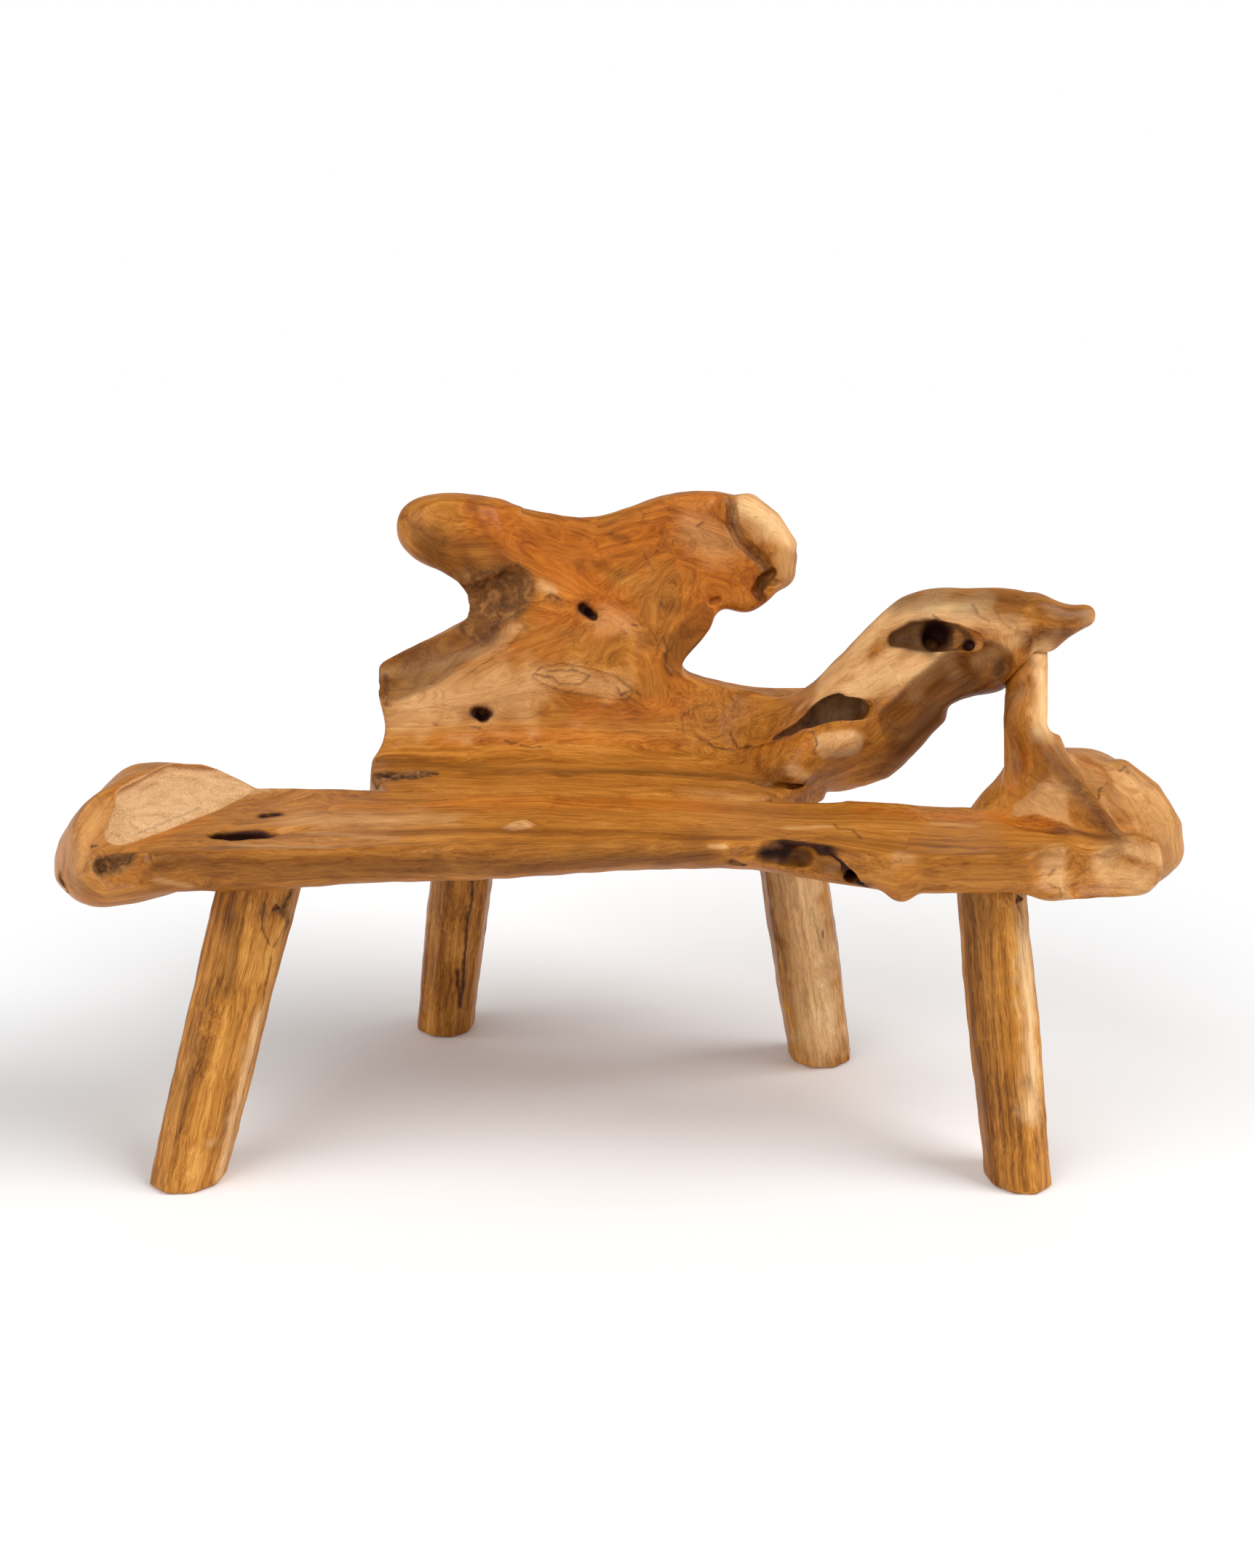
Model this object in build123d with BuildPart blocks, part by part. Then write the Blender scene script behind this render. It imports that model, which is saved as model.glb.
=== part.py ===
"""Rustic log bench: a hewn root-wood seat with a free-form back, on four splayed log legs.

Frame: +X towards the arm's end, +Y to the back, +Z up. The origin is on the floor, under the
middle of the bench's outer box. Millimetres throughout.
"""
import math
import os

from build123d import *

# ---- driving dimensions ----------------------------------------------------------------
overall_length = 1540       # outer end of the bulb to outer end of the right lump
overall_height = 872        # floor to the top of the horn and the lobe
overall_depth = 685         # front edge of the seat to the rear of the back's top
seat_height = 475           # floor to the seat's top face
plank_depth = 282           # foremost front edge to the glue joint, at mid length
plank_thickness = 74        # at the belly of the plank
front_lip = 34              # height of the front edge at mid length, where it is thinnest
seat_dish = 4               # how deep the seat is dished
joint_turn = -5.1           # degrees in plan, the glue joint between plank and back root
back_left = -397            # left end of the back root
back_right = 300            # where the back root's base ends and the arm goes on
base_thickness = 70         # of the back root under the seat's rear
back_thickness = 64
back_lean = 14              # degrees the back leans from upright
cove_top = 85               # over the seat, where the cove becomes the back's flat lean
waist_height = 105          # seat to the narrowest part of the back
arm_height = 289            # seat to the top of the arm
post_inset = 203            # right end of the bench to the middle of the post
beak_length = 90            # the arm's snag past the middle of the post

# ---- joinery ---------------------------------------------------------------------------
tenon_diameter = 45
tenon_length = 36
tenon_gap = 0.15            # radial, between a tenon and its mortise
mortise_spare = 2           # glue space past a tenon's or a dowel's end
spot_ring = 1               # how much wider than its leg the spot face under the seat is
spot_depth = 60             # far enough to clear the wood beside the leg
wedge_width = 34
wedge_length = 26
wedge_thick = 4.4
wedge_thin = 1.4
joint_gap = 0.1             # round dowels, screws and wedges in their holes
dowel_diameter = 20
dowel_length = 100
dowel_depth = 0.45 * plank_thickness    # from the seat's top to the dowels
dowel_spots = {"left": -290, "middle": -90, "right": 90}
screw_diameter = 6
screw_head = 12
screw_head_length = 4
screw_sink = 3              # how deep the back's screws are sunk
leg_screw_length = 72
leg_screw_drop = 34         # along the leg, from its shoulder down to the screw's head
leg_screw_angle = 24        # degrees between a toe screw and its leg
leg_screw_sink = 2          # how deep its head is sunk in the leg's round
back_screw_length = 78
back_screw_angle = 40       # degrees over the level
back_screw_setback = 32     # behind the glue joint
back_screw_spots = {"left": -190, "right": 0}
post_dowel_diameter = 16
post_dowel_length = 70
post_dowel_lean = 0.5        # to the back, per rise, along the post
arm_over_post = 84          # the arm's top over the post's top
housing_gap = 0.3           # between the post's top and the sides of its housing in the arm
post_screw_length = 42

left = -overall_length / 2
right = overall_length / 2
front = -overall_depth / 2
rear = overall_depth / 2
joint_y = front + plank_depth
post_x = right - post_inset
post_height = arm_height - arm_over_post
back_rise = overall_height - seat_height
lean_run = math.tan(math.radians(back_lean))
top_front = rear - back_thickness - 4
cove_front = top_front - (back_rise - cove_top) * lean_run
seat_under = seat_height - plank_thickness
base_under = seat_height - base_thickness


def joint_line(x):
    """Depth of the glue joint at a place along the bench."""
    return joint_y + x * math.tan(math.radians(joint_turn))


def under_root(x, share):
    """Depth of a point under the back root, from the glue joint (0) to the cove's top (1)."""
    return joint_line(x) + share * (cove_front - joint_line(x))


# ---- legs: foot on the floor, middle of the shoulder under the seat -----------------------
foot_chamfer = 5
leg_sides = 9
hewn_corner = 13            # rounding of the hewn edges
hewn_margin = 2             # corners stand out of the leg's round by this much
leg_belly = 2               # how much thicker a leg is at half its height
front_shoulder = seat_under + 9
rear_shoulder = base_under + 8
leg_plan = {
    # name: (foot x, foot y), (shoulder x, shoulder y, shoulder z), foot size, top size
    "front_left": ((left + 176, front + 52),
                   (left + 285, front + 127, front_shoulder), 95, 108),
    "front_right": ((right - 234, front + 46),
                    (right - 280, front + 127, front_shoulder), 86, 93),
    "rear_left": ((back_left + 97, under_root(back_left + 160, 0.565) + 111),
                  (back_left + 160, under_root(back_left + 160, 0.565), rear_shoulder), 92, 96),
    "rear_right": ((back_right + 13, under_root(back_right - 62, 0.368) + 70),
                   (back_right - 62, under_root(back_right - 62, 0.368), rear_shoulder + 16),
                   96, 102),
}


joint_plane = Plane(origin=(0, joint_y, 0), x_dir=Vector(1, 0, 0).rotate(Axis.Z, joint_turn),
                    z_dir=(0, 0, 1))


def rise(share):
    """Height of a point on the back, from its waist (0) to its top (1)."""
    return seat_height + waist_height + share * (back_rise - waist_height)


def blob(plane, points):
    """A closed smooth section through a few points."""
    with BuildSketch(plane) as section:
        with BuildLine():
            Spline(*points, periodic=True)
        make_face()
    return section.sketch


def oval(plane, low, high, squareness=0.82):
    """A rounded section that fills the box between two corners."""
    (x0, z0), (x1, z1) = low, high
    xm, zm = (x0 + x1) / 2, (z0 + z1) / 2
    kx, kz = (x1 - x0) / 2 * squareness, (z1 - z0) / 2 * squareness
    return blob(plane, [(x1, zm), (xm + kx, zm + kz), (xm, z1), (xm - kx, zm + kz),
                        (x0, zm), (xm - kx, zm - kz), (xm, z0), (xm + kx, zm - kz)])


def lump_sections(stations):
    return [oval(Plane.YZ.offset(x), (front + y0, seat_height + z0),
                 (front + y1, seat_height + z1))
            for x, (y0, z0), (y1, z1) in stations]


def plank_section(x, edge, lip, belly, tail, past_joint):
    """The plank cut across: dished top, rounded front edge, belly, rear edge."""
    y0, y1 = front + edge, joint_line(x) + past_joint
    lip, belly, tail = front_lip + lip, plank_thickness * belly, plank_thickness * tail
    top = seat_height
    with BuildSketch(Plane.YZ.offset(x)) as section:
        with BuildLine():
            ThreePointArc((y1, top), ((y0 + y1) / 2, top - seat_dish), (y0, top))
            ThreePointArc((y0, top), (y0 - 5, top - lip * 0.55), (y0 + 6, top - lip))
            Spline((y0 + 6, top - lip), (y0 + 70, top - belly * 0.95),
                   (y0 + 0.6 * (y1 - y0), top - belly), (y1, top - tail))
            Line((y1, top - tail), (y1, top))
        make_face()
    return section.sketch


def post_sections(grow=0):
    """The post's level sections, from inside the plank up to its flat top in the arm."""
    sections = []
    for share, *points in post_stations:
        middle_x = sum(x for x, y in points) / len(points)
        middle_y = sum(y for x, y in points) / len(points)
        spread = []
        for x, y in points:
            away = math.hypot(x - middle_x, y - middle_y)
            spread.append((post_x + x + grow * (x - middle_x) / away,
                           joint_line(post_x) + y + grow * (y - middle_y) / away))
        sections.append(blob(Plane.XY.offset(seat_height + share * post_height), spread))
    return sections


def arm_x(share):
    """Place along the arm, from the back root (0) to the post (1)."""
    root_x = back_right - 85
    return root_x + share * (post_x - root_x)


def arm_y(share):
    """Depth of the arm's middle line."""
    root_y, head_y = joint_line(arm_x(0)) + 205, joint_line(post_x) + 100
    return root_y + (head_y - root_y) * share


def arm_z(percent):
    return seat_height + percent * arm_height / 100


def hollow(centre, along, outward, length, width):
    """A spindle-shaped tool for natural hollows and slots, its long axis on the wood's face."""
    lengthwise = Plane(origin=centre, x_dir=along, z_dir=Vector(*along).cross(Vector(*outward)))
    blunt = width / 8
    with BuildPart() as tool:
        with BuildSketch(lengthwise):
            with BuildLine():
                Polyline((-length / 2, 0), (-length / 2, blunt), (-length / 5, width / 2),
                         (length / 5, width / 2), (length / 2, blunt), (length / 2, 0), close=True)
            make_face()
        revolve(axis=Axis(centre, along))
    return tool.part


def leg_plane(name):
    """At the middle of a leg's shoulder, Z up the leg, X to the back."""
    (foot_x, foot_y), shoulder, foot_size, top_size = leg_plan[name]
    return Plane(origin=shoulder, x_dir=(0, 1, 0), z_dir=Vector(*shoulder) - Vector(foot_x, foot_y, 0))


def leg_length(name):
    (foot_x, foot_y), shoulder, foot_size, top_size = leg_plan[name]
    return (Vector(*shoulder) - Vector(foot_x, foot_y, 0)).length


def hewn_section(plane, size):
    """A leg cut across: a many-sided outline with its corners worn round."""
    with BuildSketch(plane) as section:
        RegularPolygon(size / 2 + hewn_margin, leg_sides)
        fillet(section.vertices(), hewn_corner)
    return section.sketch


def screw(plane, length, gap=0, recess=0):
    """A plain countersunk screw, its head's top at the plane's origin, pointing up its Z.

    With a gap it is the hole for one, and a recess opens the hole back to the surface.
    """
    shank, head = screw_diameter / 2 + gap, screw_head / 2 + gap
    across = Plane(origin=plane.origin, x_dir=plane.x_dir, z_dir=-plane.y_dir)
    with BuildPart() as body:
        with BuildSketch(across):
            with BuildLine():
                Polyline((0, -recess), (head, -recess), (head, 1 + gap), (shank, screw_head_length),
                         (shank, length + gap), (0, length + gap), close=True)
            make_face()
        revolve(axis=Axis(plane.origin, plane.z_dir))
    return body.part


def rod(plane, diameter, length):
    """A round bar centred on a plane's origin, along its Z."""
    with BuildPart() as body:
        with BuildSketch(plane.offset(-length / 2)):
            Circle(diameter / 2)
        extrude(amount=length)
    return body.part


def leg_socket(name):
    """What a leg's top takes out of the wood: a flat spot face, and a mortise for the tenon."""
    shoulder, top_size = leg_plane(name), leg_plan[name][3]
    with BuildPart() as socket:
        with BuildSketch(shoulder.offset(-spot_depth)):
            Circle(top_size / 2 + hewn_margin + spot_ring)
        extrude(amount=spot_depth)
        with BuildSketch(shoulder):
            Circle(tenon_diameter / 2 + tenon_gap)
        extrude(amount=tenon_length + mortise_spare)
    return socket.part


def wedge_outline(name, grow=0, spare=0):
    """A fox wedge's face, thick end level with the tenon's end."""
    shoulder = leg_plane(name)
    end = shoulder.offset(tenon_length).origin
    face = Plane(origin=end, x_dir=shoulder.x_dir, z_dir=-shoulder.y_dir)
    thick, thin = wedge_thick / 2 + grow, wedge_thin / 2 + grow
    with BuildSketch(face) as outline:
        with BuildLine():
            Polyline((-thick, spare), (thick, spare), (thin, -wedge_length - spare),
                     (-thin, -wedge_length - spare), close=True)
        make_face()
    return outline.sketch


def leg_screw_plane(name):
    """A toe screw's head, sunk in the leg's side, so that its path misses the tenon."""
    shoulder, top_size = leg_plane(name), leg_plan[name][3]
    side = -1 if name.startswith("front") else 1
    path_side = (tenon_diameter + top_size) / 4
    head_side = math.sqrt((top_size / 2 - leg_screw_sink) ** 2 - path_side ** 2)
    head = shoulder.from_local_coords((side * path_side, side * head_side, -leg_screw_drop))
    slope = math.radians(leg_screw_angle)
    path = shoulder.z_dir * math.cos(slope) - shoulder.y_dir * side * math.sin(slope)
    return Plane(origin=head, x_dir=shoulder.x_dir, z_dir=path)


def dowel_plane(x):
    """Across the glue joint, square to it."""
    return Plane(origin=(x, joint_line(x), seat_height - dowel_depth), x_dir=(0, 0, 1),
                 z_dir=joint_plane.y_dir)


def back_screw_plane(x):
    """In the back root's underside, pointing forward and up into the plank."""
    slope = math.radians(back_screw_angle)
    return Plane(origin=(x, joint_line(x) + back_screw_setback, base_under + screw_sink),
                 x_dir=(1, 0, 0), z_dir=(0, -math.cos(slope), math.sin(slope)))


def post_top_middle():
    share, *points = post_stations[-1]
    return (post_x + sum(x for x, y in points) / len(points),
            joint_line(post_x) + sum(y for x, y in points) / len(points), seat_height + post_height)


def post_dowel_plane():
    return Plane(origin=post_top_middle(), x_dir=(1, 0, 0), z_dir=(0, post_dowel_lean, 1))


def post_screw_plane():
    """In the arm's lower front, pointing sideways into the post's top."""
    start = (post_x - 53, arm_y(0.85) - 52, arm_z(57))
    return Plane(origin=start, x_dir=(0, 0, 1), z_dir=(59, 13, 17))


# ---- the seat ----------------------------------------------------------------------------
plank_left = left + 150
plank_right = right - 80
trim = 2                    # wood past the glue joint, planed off when the joint is cut
plank_stations = [
    # share of the plank's length, front edge behind the front line, lip over the thinnest,
    # belly and rear edge as shares of the thickness, rear edge past the joint
    (0, 12, 26, 1, 0.89, trim),
    (0.1, 22, 20, 1, 0.86, trim),
    (0.17, 34, 17, 1, 0.84, trim),
    (0.285, 46, 12, 0.95, 0.81, trim),
    (0.4, 52, 6, 0.89, 0.78, trim),
    (0.473, 64, 0, 0.86, 0.76, trim),
    (0.553, 71, 0, 0.86, 0.76, trim),
    (0.63, 55, 4, 0.89, 0.76, trim),
    (0.702, 22, 12, 0.95, 0.78, 6),
    (0.775, 13, 20, 1, 0.81, -8),
    (0.855, 18, 22, 1, 0.84, -8),
    (0.937, 46, 30, 1, 0.84, 20),
    (1, 62, 28, 0.92, 0.84, 40),
]
bulb_stations = [
    # x, then the section's box: front and low, rear and high, from the front line and the seat
    (left, (132, -92), (252, -45)),
    (left + 20, (84, -105), (290, -12)),
    (left + 50, (44, -106), (316, 26)),
    (left + 92, (9, -92), (328, 54)),
    (left + 138, (2, -80), (330, 56)),
    (left + 188, (20, -70), (330, 46)),
    (left + 248, (160, -66), (326, 12)),
]
lump_stations = [
    (right - 215, (190, -50), (322, 60)),
    (right - 185, (170, -80), (328, 75)),
    (right - 135, (150, -95), (332, 72)),
    (right - 85, (140, -100), (332, 62)),
    (right - 50, (145, -102), (324, 28)),
    (right - 20, (165, -98), (302, -14)),
    (right, (192, -86), (272, -45)),
]
post_stations = [
    # share of the post's height, then the section's left, front, right and rear points, from
    # the middle of the post and the glue joint's line
    (-0.16, (-66, -10), (102, -152), (80, -8), (-2, 62)),
    (0, (-54, -17), (84, -136), (68, -8), (-2, 60)),
    (0.22, (-25, 2), (54, -80), (56, -2), (4, 62)),
    (0.48, (-25, 24), (22, -16), (34, 24), (2, 64)),
    (0.78, (-28, 62), (5, 33), (34, 64), (3, 96)),
    (1, (-30, 88), (5, 58), (34, 90), (3, 121)),
]
scoop_foot = (left + 119, front + 61)       # the end-grain scoop's lower line on the seat
scoop_end = (left + 240, front + 331)
scoop_rise = 100
scoop_lean = 52
scoop_hollow = 10

with BuildPart() as seat_slab:
    # the bulb, and the slanted scoop that was cut into its inner side
    loft(sections=lump_sections(bulb_stations))
    scoop_run = Vector(*scoop_end) - Vector(*scoop_foot)
    scoop_plane = Plane(origin=(*scoop_foot, seat_height), x_dir=scoop_run.rotate(Axis.Z, -90),
                        z_dir=-scoop_run)
    with BuildSketch(scoop_plane.offset(-2 * scoop_run.length)):
        with BuildLine():
            ThreePointArc((0, 0), (-scoop_lean / 2 - scoop_hollow, scoop_rise / 2 - scoop_hollow),
                          (-scoop_lean, scoop_rise))
            Polyline((-scoop_lean, scoop_rise), (300, scoop_rise), (300, 0), (0, 0))
        make_face()
    extrude(amount=4 * scoop_run.length, mode=Mode.SUBTRACT)

    # the plank
    loft(sections=[plank_section(plank_left + share * (plank_right - plank_left), *sizes)
                   for share, *sizes in plank_stations])
    # the lump at the right end, and the flared post
    loft(sections=lump_sections(lump_stations))
    loft(sections=post_sections())

    # the glue joint with the back root
    with BuildSketch(joint_plane.offset(seat_height - 2 * plank_thickness)):
        with Locations((plank_left, 0)):
            Rectangle(back_right + 10 - plank_left, 100, align=Align.MIN)
    extrude(amount=2 * plank_thickness + 10, mode=Mode.SUBTRACT)

    # sockets for the front legs, holes for dowels and screws
    for name in ("front_left", "front_right"):
        add(leg_socket(name), mode=Mode.SUBTRACT)
        add(screw(leg_screw_plane(name), leg_screw_length, joint_gap), mode=Mode.SUBTRACT)
    for x in dowel_spots.values():
        add(rod(dowel_plane(x), dowel_diameter + 2 * joint_gap, dowel_length + 2 * mortise_spare),
            mode=Mode.SUBTRACT)
    for x in back_screw_spots.values():
        add(screw(back_screw_plane(x), back_screw_length, joint_gap), mode=Mode.SUBTRACT)
    add(rod(post_dowel_plane(), post_dowel_diameter + 2 * joint_gap,
            post_dowel_length + 2 * mortise_spare), mode=Mode.SUBTRACT)
    add(screw(post_screw_plane(), post_screw_length, joint_gap), mode=Mode.SUBTRACT)

    # the hollow under the front edge
    add(hollow((right - 535, front + 46, seat_height - 22), (1, 0, -0.12), (0, -1, 0.2), 130, 30),
        mode=Mode.SUBTRACT)

    # the dark slot and the small knot hole at the left of the seat
    add(hollow((left + 293, front + 123, seat_height), (120, 64, 0), (0, 0, 1), 140, 24),
        mode=Mode.SUBTRACT)
    with BuildSketch(Plane.XY.offset(seat_height)):
        with Locations((left + 282, front + 203)):
            Circle(5)
    extrude(amount=-14, mode=Mode.SUBTRACT)


# ---- the back root -------------------------------------------------------------------------
arm_stations = [
    # share of the way from the back root to the post, then the section's points as (depth from
    # the arm's middle line, percent of the arm's height over the seat)
    (-0.2, (64, -13), (78, 14), (60, 24), (25, 12), (-20, -1), (-110, -8), (-65, -15)),
    (0, (90, -12), (106, 21), (60, 33), (15, 23), (-65, 12), (-130, -2), (-65, -15)),
    (0.2, (68, -2), (88, 30), (23, 43), (-37, 38), (-102, 27), (-92, 2), (-37, -10)),
    (0.395, (59, 17), (64, 58), (-3, 75), (-46, 60), (-71, 33), (-53, 5), (-21, -6)),
    (0.54, (53, 38), (56, 76), (-10, 93), (-57, 77), (-72, 43), (-57, 22), (-22, 14)),
    (0.68, (52, 54), (55, 85), (-13, 98), (-61, 84), (-75, 54), (-58, 43), (-21, 36)),
    (0.85, (50, 59), (52, 87), (-12, 100), (-58, 88), (-76, 68), (-55, 54), (-15, 47)),
    (1, (48, 69), (50, 88), (-3, 98), (-46, 90), (-62, 76), (-40, 65), (-5, 61)),
]
horn_stations = [
    # past the root's left end, then the section's box: front and low, rear and high, from the
    # top's front edge and in shares of the rise
    (36, (-6, 0.76), (40, 0.88)),
    (54, (-22, 0.69), (51, 0.94)),
    (100, (-32, 0.6), (57, 0.985)),
    (150, (-28, 0.52), (58, 0.99)),
    (215, (0, 0.46), (57, 0.94)),
]
beak_stations = [
    # past the post's middle, then the section's box: front and low, rear and high (percents)
    (-24, (-40, 71), (35, 93)),
    (8, (-50, 63), (46, 98)),
    (34, (-45, 70), (40, 95)),
    (56, (-36, 77), (20, 92)),
    (75, (-27, 82), (6, 92)),
    (beak_length, (-20, 85), (-3, 91)),
]

with BuildPart() as back_root:
    # front view of the base and the back: horn at the left, saddle, lobe at the right
    with BuildSketch(Plane.XZ.offset(-rear - 60)):
        with BuildLine():
            base_left = Spline((back_left, base_under + 16), (back_left - 4, seat_height - 22),
                               (back_left + 18, seat_height + 20), (back_left + 14, rise(-0.12)),
                               (back_left + 4, rise(0.08)))
            ledge = Line(base_left @ 1, (back_left + 148, rise(0.32)))
            under_horn = Spline(ledge @ 1, (back_left + 155, rise(0.39)),
                                (back_left + 144, rise(0.5)), (back_left + 104, rise(0.59)),
                                (back_left + 58, rise(0.68)))
            horn = Spline(under_horn @ 1, (back_left + 37, rise(0.8)), (back_left + 54, rise(0.92)),
                          (back_left + 115, rise(0.99)),
                          (back_left + 204, rise(0.94)), (back_left + 347, rise(0.84)),
                          (back_left + 427, rise(0.94)), (back_left + 515, rise(1)),
                          (back_left + 605, rise(0.93)), (back_left + 665, rise(0.7)),
                          (back_left + 638, rise(0.47)), (back_left + 594, rise(0.36)))
            cleft = Spline(horn @ 1, (back_left + 570, rise(0.37)), (back_left + 545, rise(0.42)))
            crotch = Spline(cleft @ 1, (back_left + 530, rise(0.27)), (back_left + 489, rise(0.07)),
                            (back_left + 526, rise(0.01)), (back_left + 632, rise(-0.05)),
                            (back_right, rise(-0.05)))
            Polyline(crotch @ 1, (back_right, seat_height - 36))
            Spline((back_right, seat_height - 36), (back_right - 100, base_under + 12),
                   (0, base_under), (back_left + 60, base_under), base_left @ 0)
        make_face()
    extrude(amount=overall_depth + 100)
    # side view: the seat's rear, the cove, the leaning back
    with BuildSketch(Plane.YZ.offset(back_left - 30)):
        with BuildLine():
            seat_line = Line((front, seat_height), (cove_front - 105, seat_height))
            cove = Spline(seat_line @ 1, (cove_front - 15, seat_height + 45),
                          (cove_front, seat_height + cove_top), tangents=((1, 0), (lean_run, 1)))
            over = 20       # how far the outline runs on past the top and the underside
            face = Line(cove @ 1, (top_front + over * lean_run, overall_height + over))
            top_line = Line(face @ 1, (rear + over * lean_run, overall_height + over))
            rear_line = Line(top_line @ 1, (cove_front + back_thickness, seat_height + cove_top))
            toe = Spline(rear_line @ 1, (cove_front + 30, seat_height - 30),
                         (cove_front - 30, base_under - over), tangents=((-lean_run, -1), (-1, 0)))
            Polyline(toe @ 1, (front, base_under - over), (front, seat_height))
        make_face()
    extrude(amount=back_right - back_left + 200, mode=Mode.INTERSECT)

    # front: the glue joint; right front corner: the cleft between the root and the plank
    with BuildSketch(joint_plane.offset(base_under - 40)):
        with Locations((back_left - 60, 0)):
            Rectangle(overall_length, overall_depth, align=(Align.MIN, Align.MAX))
    extrude(amount=base_thickness + 60, mode=Mode.SUBTRACT)
    with BuildSketch(Plane.XY.offset(base_under - 40)):
        with BuildLine():
            corner_y = joint_line(back_left)
            Polyline((back_left + 56, corner_y - 6), (back_left + 10, corner_y + 108),
                     (back_left - 30, corner_y + 108), (back_left - 30, corner_y - 6), close=True)
        make_face()
    extrude(amount=base_thickness + 60, mode=Mode.SUBTRACT)
    with BuildSketch(Plane.XY.offset(base_under - 40)):
        with BuildLine():
            corner_y = joint_line(back_right)
            cleft_edge = Spline((back_right - 112, joint_line(back_right - 112) - 1),
                                (back_right - 55, corner_y + 62), (back_right + 1, corner_y + 122))
            Polyline(cleft_edge @ 1, (back_right + 1, corner_y - 20), cleft_edge @ 0)
        make_face()
    extrude(amount=base_thickness + 160, mode=Mode.SUBTRACT)

    # the horn is a round stub of a branch
    loft(sections=[oval(Plane.YZ.offset(back_left + dx), (top_front + y0, rise(low)),
                        (top_front + y1, rise(high)))
                   for dx, (y0, low), (y1, high) in horn_stations])

    # the arm with its head, and the beak
    loft(sections=[blob(Plane.YZ.offset(arm_x(share)),
                        [(arm_y(share) + dy, arm_z(percent)) for dy, percent in points])
                   for share, *points in arm_stations])
    loft(sections=[oval(Plane.YZ.offset(post_x + dx), (arm_y(1) + y0, arm_z(p0)),
                        (arm_y(1) + y1, arm_z(p1)))
                   for dx, (y0, p0), (y1, p1) in beak_stations])

    # natural hollows: the eye with its deep hole, the neck, knot holes in the back
    eye = (post_x - 130, arm_y(0.63) - 56, arm_z(75))
    add(hollow(eye, (1, 0.1, 0), (0, -1, 0.4), 118, 34), mode=Mode.SUBTRACT)
    add(rod(Plane(origin=eye, z_dir=(0.1, 0.9, -0.3)).offset(20), 26, 70), mode=Mode.SUBTRACT)
    add(hollow((back_right, arm_y(0.24) - 70, arm_z(34)), (1, -0.2, 0.35), (0, -1, 0.6), 140, 26),
        mode=Mode.SUBTRACT)
    add(rod(Plane(origin=(back_left + 173, cove_front, seat_height + 60), z_dir=(0, 1, 0)), 20, 70),
        mode=Mode.SUBTRACT)
    add(rod(Plane(origin=(back_left + 338, cove_front + 34, rise(0.37)), z_dir=(0, 1, 0)), 12, 50),
        mode=Mode.SUBTRACT)

    # housing for the post's top, sockets for the rear legs, holes for dowels and screws
    loft(sections=post_sections(housing_gap), mode=Mode.SUBTRACT)
    for name in ("rear_left", "rear_right"):
        add(leg_socket(name), mode=Mode.SUBTRACT)
        add(screw(leg_screw_plane(name), leg_screw_length, joint_gap), mode=Mode.SUBTRACT)
    for x in dowel_spots.values():
        add(rod(dowel_plane(x), dowel_diameter + 2 * joint_gap, dowel_length + 2 * mortise_spare),
            mode=Mode.SUBTRACT)
    for x in back_screw_spots.values():
        add(screw(back_screw_plane(x), back_screw_length, joint_gap, recess=20), mode=Mode.SUBTRACT)
    add(rod(post_dowel_plane(), post_dowel_diameter + 2 * joint_gap,
            post_dowel_length + 2 * mortise_spare), mode=Mode.SUBTRACT)
    add(screw(post_screw_plane(), post_screw_length, joint_gap, recess=20), mode=Mode.SUBTRACT)

pieces = {"seat_slab": seat_slab.part, "back_root": back_root.part}

# ---- the legs, with their wedges and toe screws ------------------------------------------------
for name in leg_plan:
    shoulder, length = leg_plane(name), leg_length(name)
    foot_size, top_size = leg_plan[name][2:]
    middle_size = (foot_size + top_size) / 2 + leg_belly
    with BuildPart() as leg:
        loft(sections=[hewn_section(shoulder.offset(-length - foot_size / 2), foot_size),
                       hewn_section(shoulder.offset(-length / 2), middle_size),
                       hewn_section(shoulder, top_size)], ruled=True)
        split(bisect_by=Plane.XY, keep=Keep.TOP)
        chamfer(leg.faces().sort_by(Axis.Z)[0].edges(), foot_chamfer)
        with BuildSketch(shoulder):
            Circle(tenon_diameter / 2)
        extrude(amount=tenon_length)
        extrude(wedge_outline(name, joint_gap, 1), amount=tenon_diameter, both=True,
                mode=Mode.SUBTRACT)
        add(screw(leg_screw_plane(name), leg_screw_length, joint_gap, recess=25),
            mode=Mode.SUBTRACT)
    with BuildPart() as wedge:
        extrude(wedge_outline(name), amount=wedge_width / 2, both=True)
    pieces["leg_" + name] = leg.part
    pieces["leg_wedge_" + name] = wedge.part
    pieces["leg_screw_" + name] = screw(leg_screw_plane(name), leg_screw_length)

# ---- dowels and screws between the plank, the back root and the post ----------------------------
for spot, x in dowel_spots.items():
    pieces["back_dowel_" + spot] = rod(dowel_plane(x), dowel_diameter, dowel_length)
for spot, x in back_screw_spots.items():
    pieces["back_screw_" + spot] = screw(back_screw_plane(x), back_screw_length)
pieces["post_dowel"] = rod(post_dowel_plane(), post_dowel_diameter, post_dowel_length)
pieces["post_screw"] = screw(post_screw_plane(), post_screw_length)

os.makedirs("parts", exist_ok=True)
for name, piece in pieces.items():
    piece.label = name
    export_step(piece, f"parts/{name}.step")
    box = piece.bounding_box()
    print(name, len(piece.solids()), piece.is_valid, round(piece.volume), box.min, box.max)
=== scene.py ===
"""The looks of a rustic log bench: sculpted root wood, hewn legs and a satin teak finish."""
import math

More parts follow.
